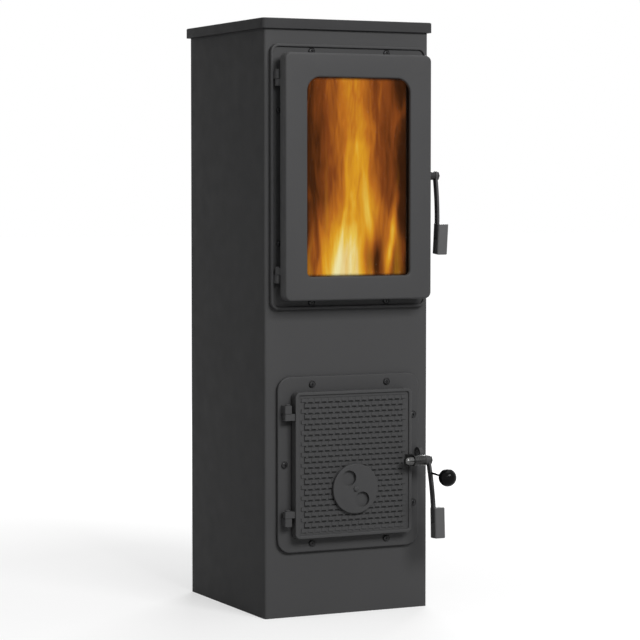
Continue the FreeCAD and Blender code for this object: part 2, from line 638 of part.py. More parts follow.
def frame_gasket(label, centre, wide, tall, corner, mouth_wide, mouth_tall, mouth_corner, places):
    """Flat fibre ring that keeps a frame off the casing."""
    piece = Piece(label)
    inset = "dims.frame_gasket_inset"
    outline = piece.sketch("XZ_Plane", off("0"))
    rounded(outline, "0", centre, f"{wide} - 2 * {inset}", f"{tall} - 2 * {inset}", f"{corner} - {inset}")
    rounded(outline, "0", centre, mouth_wide, mouth_tall, mouth_corner)
    piece.pad(outline, "dims.frame_gasket")
    drill(piece, places, "dims.screw_hole", off("dims.frame_gasket"), "dims.frame_gasket")


def hinge_lug(piece, x, left, right, near, far, low, tall):
    """A lug with round corners in plan, reaching from one distance in front of the casing to another."""
    outline = piece.sketch("XY_Plane", low)
    middle = (f"{x} + ({right} - {left}) / 2", f"({front(near)} + {front(far)}) / 2")
    rounded(outline, *middle, f"{left} + {right}", f"{far} - ({near})", "dims.lug_corner")
    piece.pad(outline, tall)


def bore(piece, x, hinge_off, radius, low, tall):
    outline = piece.sketch("XY_Plane", low)
    circle(outline, x, front(hinge_off), radius)
    piece.pocket(outline, tall, reverse=True)


def fire_frame():
    """Casting with a raised rim, a collar that the door's rope closes on, and two fixed hinge lugs."""
    piece = Piece("fire_frame")
    plane = off("dims.frame_gasket")
    size = ("0", FIRE_CENTRE, FIRE_FRAME_WIDE, FIRE_FRAME_TALL)
    rim = "2 * dims.fire_rim_wide"
    wall = "dims.fire_collar_wall"
    outline = piece.sketch("XZ_Plane", plane)
    rounded(outline, *size, "dims.fire_frame_corner")
    piece.pad(outline, "dims.fire_frame_floor")
    edge = piece.sketch("XZ_Plane", plane)
    rounded(edge, *size, "dims.fire_frame_corner")
    rounded(edge, "0", FIRE_CENTRE, f"{FIRE_FRAME_WIDE} - {rim}", f"{FIRE_FRAME_TALL} - {rim}",
            "dims.fire_frame_corner - dims.fire_rim_wide")
    piece.pad(edge, "dims.fire_rim_tall")
    face = -num(off("dims.frame_gasket + dims.fire_rim_tall"))
    piece.round_edges("dims.fire_rim_wide / 4", lambda item: fronted(item, face))
    collar = piece.sketch("XZ_Plane", plane)
    rounded(collar, "0", FIRE_CENTRE, f"{FIRE_SEAL_WIDE} + {wall}", f"{FIRE_SEAL_TALL} + {wall}",
            f"dims.fire_collar_corner + {wall} / 2")
    piece.pad(collar, "dims.fire_collar_tall")
    mouth = piece.sketch("XZ_Plane", plane)
    rounded(mouth, "0", FIRE_CENTRE, FIRE_MOUTH_WIDE, FIRE_MOUTH_TALL, FIRE_MOUTH_CORNER)
    piece.pocket(mouth, "dims.fire_collar_tall", reverse=True)
    x = f"-{FIRE_HINGE_X}"
    for low in fixed_lug_heights(*FIRE_HINGES):
        reach = "dims.fire_lug_radius"
        hinge_lug(piece, x, reach, reach, f"({FIRE_FACE} - dims.lug_corner)",
                  f"(dims.fire_hinge_off + {reach})", low, "dims.lug_tall")
        bore(piece, x, "dims.fire_hinge_off", "dims.pin_radius + dims.shaft_fit", low, "dims.lug_tall")
    drill(piece, fire_screw_places(), "dims.screw_hole", off(FIRE_FACE), "dims.fire_frame_floor")
    drill(piece, fire_screw_places(), "dims.screw_sink_radius", off(FIRE_FACE), "dims.screw_sink")


def fixed_lug_heights(rise, middle):
    """Undersides of the fixed lugs: above the door's lug at the top, below it at the bottom."""
    room = "dims.lug_room / 2"
    return [f"{middle} + {rise} + {room}", f"{middle} - {rise} - {room} - dims.lug_tall"]


def door_lug_heights(rise, middle):
    """Undersides of the door's lugs, caught between the fixed ones."""
    room = "dims.lug_room / 2"
    return [f"{middle} + {rise} - {room} - dims.door_lug_tall", f"{middle} - {rise} + {room}"]


def hinge_pins(label, rise, middle, x, hinge_off):
    """Two headed pins dropped in from above, one for each pair of lugs."""
    pair = "dims.lug_tall + dims.lug_room + dims.door_lug_tall"
    blank = Piece(label + "_blank", kept=False)
    shank = blank.sketch("XY_Plane")
    circle(shank, "0", "0", "dims.pin_radius")
    blank.pad(shank, pair, reverse=True)
    head = blank.sketch("XY_Plane", "dims.fit_gap")
    circle(head, "0", "0", "dims.pin_head")
    blank.pad(head, "dims.pin_head_tall")
    neck = blank.sketch("XY_Plane")
    circle(neck, "0", "0", "dims.pin_radius")
    blank.pad(neck, "dims.fit_gap")
    top = num("dims.fit_gap + dims.pin_head_tall")
    blank.round_edges("dims.pin_head_tall / 2", lambda edge: level(edge, top))
    room = "dims.lug_room / 2"
    tops = [f"{middle} + {rise} + {room} + dims.lug_tall", f"{middle} - {rise} + {room} + dims.door_lug_tall"]
    places = [((num(x), num(front(hinge_off)), num(top)), UPRIGHT) for top in tops]
    group(label, blank, places)


def ash_frame():
    """Cast plate with a low sealing edge round the mouth and two fixed hinge lugs."""
    piece = Piece("ash_frame")
    plane = off("dims.frame_gasket")
    wall = "dims.ash_collar_wall"
    outline = piece.sketch("XZ_Plane", plane)
    rounded(outline, "0", ASH_CENTRE, ASH_FRAME_WIDE, ASH_FRAME_TALL, "dims.ash_frame_corner")
    piece.pad(outline, "dims.ash_frame_thick")
    face = -num(off(ASH_FACE))
    piece.round_edges("dims.ash_frame_edge", lambda item: fronted(item, face))
    collar = piece.sketch("XZ_Plane", plane)
    rounded(collar, "0", ASH_CENTRE, f"{ASH_SEAL_WIDE} + {wall}", f"{ASH_SEAL_TALL} + {wall}",
            f"dims.ash_collar_corner + {wall} / 2")
    piece.pad(collar, "dims.ash_frame_thick + dims.ash_collar_tall")
    mouth = piece.sketch("XZ_Plane", plane)
    rounded(mouth, "0", ASH_CENTRE, ASH_MOUTH_WIDE, ASH_MOUTH_TALL, ASH_MOUTH_CORNER)
    piece.pocket(mouth, "dims.ash_frame_thick + dims.ash_collar_tall", reverse=True)
    x = f"-{ASH_HINGE_X}"
    for low in fixed_lug_heights(*ASH_HINGES):
        reach = "dims.ash_lug_radius"
        hinge_lug(piece, x, "dims.ash_lug_left", reach, f"({ASH_FACE} - dims.lug_corner)",
                  f"(dims.ash_hinge_off + {reach})", low, "dims.lug_tall")
        bore(piece, x, "dims.ash_hinge_off", "dims.pin_radius + dims.shaft_fit", low, "dims.lug_tall")
    drill(piece, ash_screw_places(), "dims.screw_hole", off(ASH_FACE), "dims.ash_frame_thick")
    drill(piece, ash_screw_places(), "dims.screw_sink_radius", off(ASH_FACE), "dims.screw_sink")


def frame_screws():
    blank = button_screw("frame_screw_blank", "dims.screw_radius", "dims.screw_head", "dims.screw_rise",
                         "dims.screw_grip")
    for label, places, face in (
        ("fire_frame_screws", fire_screw_places(), FIRE_FACE),
        ("ash_frame_screws", ash_screw_places(), ASH_FACE),
    ):
        seat = num(front(f"({face} - dims.screw_sink)"))
        group(label, blank, [((num(x), seat, num(z)), FACING_FRONT) for x, z in places])


# Fire door

WINDOW_WIDE = "(dims.fire_door_wide - 2 * dims.window_side)"
WINDOW_TALL = "(dims.fire_door_tall - 2 * dims.window_end)"
FIRE_BUSH_NECK = "(dims.latch_shaft + dims.bush_wall)"
FIRE_BUSH_RADIUS = f"({FIRE_BUSH_NECK} + dims.bush_shoulder)"
FIRE_LATCH_Y = front("dims.fire_latch_off")
FIRE_LATCH_Z = f"({FIRE_CENTRE} + dims.fire_latch_rise)"
SKIRT_INSIDE = "(dims.fire_door_wide / 2 - dims.fire_door_skirt)"
TONGUE_RIGHT = f"({SKIRT_INSIDE} - dims.tongue_from_skirt)"
TONGUE_LEFT = f"({TONGUE_RIGHT} - dims.tongue_thick)"
FIRE_LEVER_LEFT = "(dims.fire_door_wide / 2 + dims.fire_bush_long + dims.washer)"
CLIP_X = f"({WINDOW_WIDE} / 2 + dims.glass_lap + dims.glass_room + dims.clip_boss)"
GLASS_FRONT = f"({FIRE_PLATE_BACK} - dims.glass_seal)"
GLASS_BACK = f"({GLASS_FRONT} - dims.glass_thick)"


def fire_door():
    """Cast door: front wall, side walls all round, the land for the rope and two hinge lugs."""
    piece = Piece("fire_door")
    middle = ("0", FIRE_CENTRE)
    skirt = "2 * dims.fire_door_skirt"
    outline = piece.sketch("XZ_Plane", off(FIRE_DOOR_BACK))
    rounded(outline, *middle, "dims.fire_door_wide", "dims.fire_door_tall", "dims.fire_door_corner")
    piece.pad(outline, "dims.fire_door_deep")
    hollow = piece.sketch("XZ_Plane", off(FIRE_DOOR_BACK))
    rounded(hollow, *middle, f"dims.fire_door_wide - {skirt}", f"dims.fire_door_tall - {skirt}",
            "dims.fire_door_corner - dims.fire_door_skirt")
    piece.pocket(hollow, "dims.fire_door_deep - dims.fire_door_plate", reverse=True)
    land = piece.sketch("XZ_Plane", off(FIRE_ROPE_SEAT))
    rope = "dims.fire_rope_wide"
    rounded(land, *middle, f"{FIRE_SEAL_WIDE} + {rope}", f"{FIRE_SEAL_TALL} + {rope}",
            f"dims.fire_collar_corner + {rope} / 2")
    rounded(land, *middle, f"{FIRE_SEAL_WIDE} - {rope}", f"{FIRE_SEAL_TALL} - {rope}",
            f"dims.fire_collar_corner - {rope} / 2")
    piece.pad(land, f"{FIRE_PLATE_BACK} - {FIRE_ROPE_SEAT}")
    bosses = piece.sketch("XZ_Plane", off(GLASS_BACK))
    for x, z in clip_places():
        circle(bosses, x, z, "dims.clip_boss")
    piece.pad(bosses, "dims.glass_seal + dims.glass_thick")
    window = piece.sketch("XZ_Plane", off("dims.fire_door_off"))
    rounded(window, *middle, WINDOW_WIDE, WINDOW_TALL, "dims.window_top_corner",
            "dims.window_foot_corner")
    piece.pocket(window, "dims.fire_door_plate")
    face = -num(off("dims.fire_door_off"))
    reach = num(f"{WINDOW_WIDE} / 2 + dims.window_edge + {PAST}")
    rise = num(f"{WINDOW_TALL} / 2 + dims.window_edge + {PAST}")
    height = num(FIRE_CENTRE)

    def on_window(item):
        box = item.BoundBox
        beside = max(-box.XMin, box.XMax) < reach
        return fronted(item, face) and beside and max(height - box.ZMin, box.ZMax - height) < rise

    piece.round_edges("dims.window_edge", on_window)
    piece.round_edges("dims.fire_door_edge", lambda item: fronted(item, face) and not on_window(item))
    x = f"-{FIRE_HINGE_X}"
    skirt_x = "-(dims.fire_door_wide / 2 - dims.fire_door_skirt)"
    for low_edge in door_lug_heights(*FIRE_HINGES):
        eye = piece.sketch("XY_Plane", low_edge)
        circle(eye, x, front("dims.fire_hinge_off"), "dims.fire_lug_radius")
        piece.pad(eye, "dims.door_lug_tall")
        arm = piece.sketch("XY_Plane", low_edge)
        polygon(arm, [
            (f"{x} - dims.fire_lug_radius", front("dims.fire_hinge_off")),
            (f"{x} + dims.fire_lug_radius", front("dims.fire_hinge_off")),
            (skirt_x, front(FIRE_DOOR_BACK)),
            ("-dims.fire_door_wide / 2", front(FIRE_DOOR_BACK)),
        ])
        piece.pad(arm, "dims.door_lug_tall")
        bore(piece, x, "dims.fire_hinge_off", "dims.pin_radius + dims.pin_room", low_edge,
             "dims.door_lug_tall")
    neck = piece.sketch("YZ_Plane", SKIRT_INSIDE)
    circle(neck, FIRE_LATCH_Y, FIRE_LATCH_Z, f"{FIRE_BUSH_NECK} + dims.shaft_fit")
    piece.pocket(neck, "dims.fire_door_skirt", reverse=True)
    drill(piece, clip_places(), "dims.clip_screw + dims.shaft_fit", off(GLASS_BACK), "dims.glass_thick",
          reverse=True)


def clip_places():
    """Glass clip screws: two at each side of the window."""
    return [(f"{s} * {CLIP_X}", f"{FIRE_CENTRE} + {t} * dims.clip_spread") for s in (-1, 1) for t in (-1, 1)]


def glass_pieces():
    """Ceramic glass on a flat seal, held by clips and screws from behind."""
    middle = ("0", FIRE_CENTRE)
    lap = "2 * dims.glass_lap"
    glass_wide, glass_tall = f"({WINDOW_WIDE} + {lap})", f"({WINDOW_TALL} + {lap})"
    seal = Piece("glass_seal")
    ring = seal.sketch("XZ_Plane", off(GLASS_FRONT))
    rounded(ring, *middle, glass_wide, glass_tall, "dims.window_foot_corner")
    inner = "2 * dims.glass_seal_wide"
    rounded(ring, *middle, f"{glass_wide} - {inner}", f"{glass_tall} - {inner}", "dims.window_foot_corner")
    seal.pad(ring, "dims.glass_seal")
    glass = Piece("fire_glass")
    outline = glass.sketch("XZ_Plane", off(GLASS_BACK))
    rounded(outline, *middle, glass_wide, glass_tall, "dims.window_foot_corner")
    glass.pad(outline, "dims.glass_thick")
    clip = Piece("glass_clip_blank", kept=False)
    plate = clip.sketch("XY_Plane")
    rounded(plate, "dims.clip_boss / 2 - dims.clip_reach / 2", "0", "dims.clip_boss + dims.clip_reach",
            "dims.clip_tall", "dims.clip_boss / 2")
    circle(plate, "0", "0", "dims.clip_screw + dims.shaft_fit")
    clip.pad(plate, "dims.clip_thick")
    screw = button_screw("clip_screw_blank", "dims.clip_screw", "dims.clip_head", "dims.clip_head_tall",
                         "dims.clip_thick + dims.glass_thick", socket=False)
    over = num(front(f"({GLASS_BACK} - dims.clip_thick)"))
    under = num(front(GLASS_BACK))
    clips, screws = [], []
    for x, z in clip_places():
        right = num(x) > 0
        turn = FACING_BACK if right else FACING_BACK.multiply(FreeCAD.Rotation(FreeCAD.Vector(0, 0, 1), 180))
        clips.append(((num(x), under, num(z)), turn))
        screws.append(((num(x), over, num(z)), FACING_BACK))
    group("glass_clips", clip, clips)
    group("glass_clip_screws", screw, screws)


def fire_rope():
    piece = Piece("fire_door_rope")
    rope = "dims.fire_rope_wide"
    ring = piece.sketch("XZ_Plane", off(f"({FIRE_COLLAR_TOP} + dims.rope_squash_gap)"))
    middle = ("0", FIRE_CENTRE)
    rounded(ring, *middle, f"{FIRE_SEAL_WIDE} + {rope}", f"{FIRE_SEAL_TALL} + {rope}",
            f"dims.fire_collar_corner + {rope} / 2")
    rounded(ring, *middle, f"{FIRE_SEAL_WIDE} - {rope}", f"{FIRE_SEAL_TALL} - {rope}",
            f"dims.fire_collar_corner - {rope} / 2")
    piece.pad(ring, "dims.fire_rope_deep")
    back = num(front(f"({FIRE_COLLAR_TOP} + dims.rope_squash_gap)"))
    piece.round_edges(f"{rope} / 4", lambda edge: fronted(edge, back))


# Latches


def disc(piece, start, y, z, radius, length):
    """A round boss along X."""
    outline = piece.sketch("YZ_Plane", start)
    circle(outline, y, z, radius)
    return piece.pad(outline, length)


def through(piece, start, y, z, radius, length):
    """A bore along X."""
    outline = piece.sketch("YZ_Plane", start)
    circle(outline, y, z, radius)
    return piece.pocket(outline, length, reverse=True)


# Radius of a lever's bow
BOW = "((dims.lever_half ^ 2 + dims.lever_bulge ^ 2) / (2 * dims.lever_bulge))"


def lever(label, left, y, z, hang):
    """Flat bar bowed a little outward, with a round boss at the latch axis."""
    piece = Piece(label)
    disc(piece, "0", "0", "0", "dims.lever_boss", "dims.lever_thick")
    arm = piece.sketch("XY_Plane", "-dims.lever_half")
    rectangle(arm, "0", "-dims.lever_bulge - dims.lever_wide / 2", "dims.lever_thick",
              "-dims.lever_bulge + dims.lever_wide / 2")
    centre = f"{BOW} - dims.lever_bulge"
    ends = [FreeCAD.Vector(0, num(centre), 0), FreeCAD.Vector(num("dims.lever_thick"), num(centre), 0)]
    axis = arm.addGeometry(Part.LineSegment(*ends), True)
    locate(arm, axis, 1, "0", centre)
    locate(arm, axis, 2, "dims.lever_thick", centre)
    swept = piece.turn(arm, (arm, ["Axis0"]), f"2 * asin(dims.lever_half / {BOW})")
    swept.Midplane = True
    doc.recompute()
    through(piece, "0", "0", "0", "dims.latch_shaft + dims.shaft_fit", "dims.lever_thick")
    piece.place(left, y, z, f"-dims.{hang}")


def grip(label, left, y, z, hang):
    """Upright grip block, slotted at its left side for the end of the lever."""
    piece = Piece(label)
    half, deep = "dims.grip_tall / 2", "dims.grip_deep"
    outline = piece.sketch("XY_Plane", f"-{half}")
    rounded(outline, "dims.grip_wide / 2", "0", "dims.grip_wide", deep, "dims.grip_corner")
    piece.pad(outline, "dims.grip_tall")
    ends = [num(half), -num(half)]
    piece.round_edges("dims.grip_top_edge", lambda edge: any(level(edge, end) for end in ends))
    slot = piece.sketch("YZ_Plane")
    reach = "dims.lever_wide / 2 + dims.grip_slot_room"
    bend = f"({half}) ^ 2 / (2 * {BOW})"
    rectangle(slot, f"-({reach})", "-dims.grip_slot_room * 2", f"{reach} + {bend}", f"{half} + {PAST}")
    piece.pocket(slot, "dims.lever_thick + dims.shaft_fit", reverse=True)
    tilt = f"asin(dims.lever_half / {BOW}) - dims.{hang} * 1 deg"
    drop = "(2 * dims.lever_half)"
    piece.place(left, f"{y} - {drop} * sin(dims.{hang})", f"{z} - {drop} * cos(dims.{hang})", tilt)


def nut(label, left, y, z, flats, thick, shaft):
    piece = Piece(label)
    outline = piece.sketch("YZ_Plane", left)
    hexagon(outline, y, z, flats)
    circle(outline, y, z, f"{shaft} + dims.shaft_fit")
    piece.pad(outline, thick)


def fire_latch():
    """Shaft through the door's side wall: tongue inside, lever and grip outside."""
    y, z = FIRE_LATCH_Y, FIRE_LATCH_Z
    edge = "dims.fire_door_wide / 2"
    bush = Piece("fire_latch_bush")
    disc(bush, SKIRT_INSIDE, y, z, FIRE_BUSH_NECK, "dims.fire_door_skirt")
    disc(bush, edge, y, z, FIRE_BUSH_RADIUS, "dims.fire_bush_long")
    through(bush, SKIRT_INSIDE, y, z, "dims.latch_shaft + dims.pin_room",
            "dims.fire_door_skirt + dims.fire_bush_long")
    nut_left = f"({FIRE_LEVER_LEFT} + dims.lever_thick + dims.shaft_fit)"
    shaft_end = f"{nut_left} + dims.nut_thick + dims.shaft_end"
    shaft = Piece("fire_latch_shaft")
    disc(shaft, TONGUE_LEFT, y, z, "dims.latch_shaft", f"{shaft_end} - {TONGUE_LEFT}")
    tongue = Piece("fire_latch_tongue")
    disc(tongue, TONGUE_LEFT, y, z, "dims.tongue_boss", "dims.tongue_thick")
    back = f"{y} + dims.tongue_reach"
    hook = tongue.sketch("YZ_Plane", TONGUE_LEFT)
    polygon(hook, [
        (y, f"{z} + dims.tooth_top - dims.tongue_boss"),
        (y, f"{z} - dims.tongue_boss"),
        (back, f"{z} - dims.tongue_arm"),
        (back, f"{z} + dims.tooth_top"),
        (f"{back} - dims.tooth_thick", f"{z} + dims.tooth_top"),
        (f"{back} - dims.tooth_thick", z),
    ])
    tongue.pad(hook, "dims.tongue_thick")
    through(tongue, TONGUE_LEFT, y, z, "dims.latch_shaft + dims.shaft_fit", "dims.tongue_thick")
    lever("fire_latch_lever", FIRE_LEVER_LEFT, y, z, "fire_latch_hang")
    grip("fire_latch_grip", FIRE_LEVER_LEFT, y, z, "fire_latch_hang")
    nut("fire_latch_nut", nut_left, y, z, "dims.nut_flats", "dims.nut_thick", "dims.latch_shaft")


def fire_keeper():
    """Claw on the frame, its nose just above the tongue's tooth."""
    piece = Piece("fire_keeper")
    y, z = FIRE_LATCH_Y, FIRE_LATCH_Z
    tip = f"({z} + dims.tooth_top + dims.keeper_room)"
    near = f"({y} + dims.fire_nose_near)"
    face = front(FIRE_FACE)
    cave = f"({tip} + dims.fire_keeper_cave)"
    start = f"{TONGUE_LEFT} - (dims.fire_keeper_wide - dims.tongue_thick) / 2"
    outline = piece.sketch("YZ_Plane", start)
    polygon(outline, [
        (near, tip),
        (f"{near} + dims.fire_nose_thick", tip),
        (f"{near} + dims.fire_nose_thick", cave),
        (face, cave),
        (face, f"{cave} + 2 * dims.fire_keeper_arm"),
        (f"{near} + dims.fire_nose_thick", f"{cave} + dims.fire_keeper_arm"),
        (near, f"{cave} + dims.fire_keeper_arm / 2"),
    ])
    piece.pad(outline, "dims.fire_keeper_wide")


# Ash door

ASH_LATCH_Y = front("dims.ash_latch_off")
ASH_LATCH_Z = f"({ASH_CENTRE} + dims.ash_latch_rise)"
ASH_EDGE = "(dims.ash_door_wide / 2)"
BARREL_LEFT = f"({ASH_EDGE} - dims.barrel_inside)"
BARREL_RIGHT = f"({ASH_EDGE} + dims.barrel_outside)"
CLAW_LEFT = f"({BARREL_RIGHT} + dims.washer)"
ASH_LEVER_LEFT = f"({CLAW_LEFT} + dims.claw_thick + dims.shaft_fit)"
ROSETTE_Z = f"({ASH_CENTRE} - dims.rosette_drop)"
SEAT_FACE = f"({ASH_FIELD} + dims.seat_rise)"


def air_hole_places(turn):
    """Two opposite holes on the rosette's ring, the first in the direction of turn."""
    ring = "dims.rosette_ring"
    return [(f"{s} * {ring} * cos({turn})", f"{ROSETTE_Z} + {s} * {ring} * sin({turn})") for s in (-1, 1)]


def waffle_places():
    """Middles of the pads: staggered rows over the field, none under the rosette's seat."""
    wide, tall, pitch, row = (num(f"dims.pad_{name}") for name in ("wide", "tall", "pitch", "row"))
    border = num("2 * (dims.ash_rim_wide + dims.pad_margin)")
    across = int((num("dims.ash_door_wide") - border - wide) / pitch)
    rows = int((num("dims.ash_door_tall") - border - tall) / row)
    places = []
    for j in range(rows + 1):
        z = num(ASH_CENTRE) + (j - rows / 2) * row
        steps = across - j % 2
        for i in range(steps + 1):
            x = (i - steps / 2) * pitch
            corner = FreeCAD.Vector(abs(x) + wide / 2, abs(z - num(ROSETTE_Z)) + tall / 2, 0)
            if corner.Length > num("dims.seat_radius"):
                places.append(((x, num(front(ASH_FIELD)), z), FACING_FRONT))
    return places


def waffle():
    """The raised pads of the ash door's field, as one group."""
    blank = Piece("waffle_pad_blank", kept=False)
    outline = blank.sketch("XY_Plane")
    rectangle(outline, "-dims.pad_wide / 2", "-dims.pad_tall / 2", "dims.pad_wide / 2", "dims.pad_tall / 2")
    pad = blank.pad(outline, "dims.pad_rise")
    pad.setExpression("TaperAngle", "-dims.pad_slope")
    doc.recompute()
    return group("waffle_pads", blank, waffle_places(), kept=False)


def ash_door():
    """Cast plate with a waffle field, a plain seat for the air rosette, a rope groove and two lugs."""
    piece = Piece("ash_door_plate", kept=False)
    middle = ("0", ASH_CENTRE)
    size = ("dims.ash_door_wide", "dims.ash_door_tall")
    plane = off("dims.ash_door_back")
    outline = piece.sketch("XZ_Plane", plane)
    rounded(outline, *middle, *size, "dims.ash_door_corner")
    piece.pad(outline, "dims.ash_door_field")
    rim = piece.sketch("XZ_Plane", plane)
    rounded(rim, *middle, *size, "dims.ash_door_corner")
    edge = "2 * dims.ash_rim_wide"
    rounded(rim, *middle, f"{size[0]} - {edge}", f"{size[1]} - {edge}",
            "dims.ash_door_corner - dims.ash_rim_wide")
    piece.pad(rim, "dims.ash_door_rim")
    face = -num(off(ASH_RIM))
    piece.round_edges("dims.ash_rim_round", lambda item: fronted(item, face))
    seat = piece.sketch("XZ_Plane", plane)
    circle(seat, "0", ROSETTE_Z, "dims.seat_radius")
    piece.pad(seat, "dims.ash_door_field + dims.seat_rise")
    foot = piece.sketch("XZ_Plane", plane)
    low, high = f"{ASH_LATCH_Z} - dims.foot_tall / 2", f"{ASH_LATCH_Z} + dims.foot_tall / 2"
    rectangle(foot, f"{ASH_EDGE} - dims.foot_wide", low, ASH_EDGE, high)
    piece.pad(foot, "dims.ash_door_rim")
    for low in door_lug_heights(*ASH_HINGES):
        x = f"-{ASH_HINGE_X}"
        reach = "dims.ash_lug_radius"
        hinge_lug(piece, x, "dims.ash_lug_left", "(dims.ash_hinge_out + dims.lug_corner)",
                  f"(dims.ash_hinge_off - {reach})", f"(dims.ash_hinge_off + {reach})", low,
                  "dims.door_lug_tall")
        bore(piece, x, "dims.ash_hinge_off", "dims.pin_radius + dims.pin_room", low, "dims.door_lug_tall")
    groove = piece.sketch("XZ_Plane", plane)
    rope = "dims.ash_rope_wide"
    rounded(groove, *middle, f"{ASH_SEAL_WIDE} + {rope}", f"{ASH_SEAL_TALL} + {rope}",
            f"dims.ash_collar_corner + {rope} / 2")
    rounded(groove, *middle, f"{ASH_SEAL_WIDE} - {rope}", f"{ASH_SEAL_TALL} - {rope}",
            f"dims.ash_collar_corner - {rope} / 2")
    piece.pocket(groove, "dims.ash_groove_deep", reverse=True)
    ports = air_hole_places("(dims.rosette_turn + 90)")
    depth = "dims.ash_door_field + dims.seat_rise"
    drill(piece, ports, "dims.port_hole", off(SEAT_FACE), depth)
    drill(piece, [("0", ROSETTE_Z)], "dims.rosette_bolt + dims.shaft_fit", off(SEAT_FACE), depth)
    door = doc.addObject("Part::Fuse", "ash_door")
    door.Label = "ash_door"
    door.Base, door.Tool = piece.body, waffle()
    door.Refine = False
    doc.recompute()
    NODES.append(door)


def ash_rope():
    piece = Piece("ash_door_rope")
    rope = "dims.ash_rope_wide - dims.fit_gap"
    middle = ("0", ASH_CENTRE)
    back = "(dims.ash_door_back - dims.ash_rope_proud)"
    ring = piece.sketch("XZ_Plane", off(back))
    rounded(ring, *middle, f"{ASH_SEAL_WIDE} + {rope}", f"{ASH_SEAL_TALL} + {rope}",
            f"dims.ash_collar_corner + ({rope}) / 2")
    rounded(ring, *middle, f"{ASH_SEAL_WIDE} - ({rope})", f"{ASH_SEAL_TALL} - ({rope})",
            f"dims.ash_collar_corner - ({rope}) / 2")
    piece.pad(ring, "dims.ash_rope_proud + dims.ash_groove_deep")


def air_rosette():
    """Disc with two opposite air holes, its bolt and the nut behind the door."""
    back = f"({SEAT_FACE} + dims.rosette_gap)"
    piece = Piece("air_rosette")
    outline = piece.sketch("XZ_Plane", off(back))
    circle(outline, "0", ROSETTE_Z, "dims.rosette_radius")
    piece.pad(outline, "dims.rosette_thick")
    face = -num(off(f"({back} + dims.rosette_thick)"))
    piece.round_edges("dims.rosette_edge", lambda edge: fronted(edge, face))
    holes = air_hole_places("dims.rosette_turn")
    start = off(f"({back} + dims.rosette_thick)")
    drill(piece, holes, "dims.rosette_hole", start, "dims.rosette_thick")
    drill(piece, [("0", ROSETTE_Z)], "dims.rosette_bolt + dims.pin_room", start, "dims.rosette_thick")
    bolt = Piece("rosette_bolt")
    head_plane = f"({back} + dims.rosette_thick + dims.rosette_gap)"
    head = bolt.sketch("XZ_Plane", off(head_plane))
    circle(head, "0", ROSETTE_Z, "dims.rosette_head")
    bolt.pad(head, "dims.rosette_head_tall")
    top = -num(off(f"({head_plane} + dims.rosette_head_tall)"))
    bolt.round_edges(f"{BOLT_ROUND} * dims.rosette_head_tall", lambda edge: fronted(edge, top))
    shank = bolt.sketch("XZ_Plane", off(head_plane))
    circle(shank, "0", ROSETTE_Z, "dims.rosette_bolt")
    behind = "dims.rosette_nut_thick + dims.rosette_bolt_end"
    bolt.pad(shank, f"{head_plane} - dims.ash_door_back + {behind}", reverse=True)
    bolt_nut = Piece("rosette_nut")
    nut_outline = bolt_nut.sketch("XZ_Plane", off("dims.ash_door_back"))
    hexagon(nut_outline, "0", ROSETTE_Z, "dims.rosette_nut_flats")
    circle(nut_outline, "0", ROSETTE_Z, "dims.rosette_bolt + dims.shaft_fit")
    bolt_nut.pad(nut_outline, "dims.rosette_nut_thick", reverse=True)


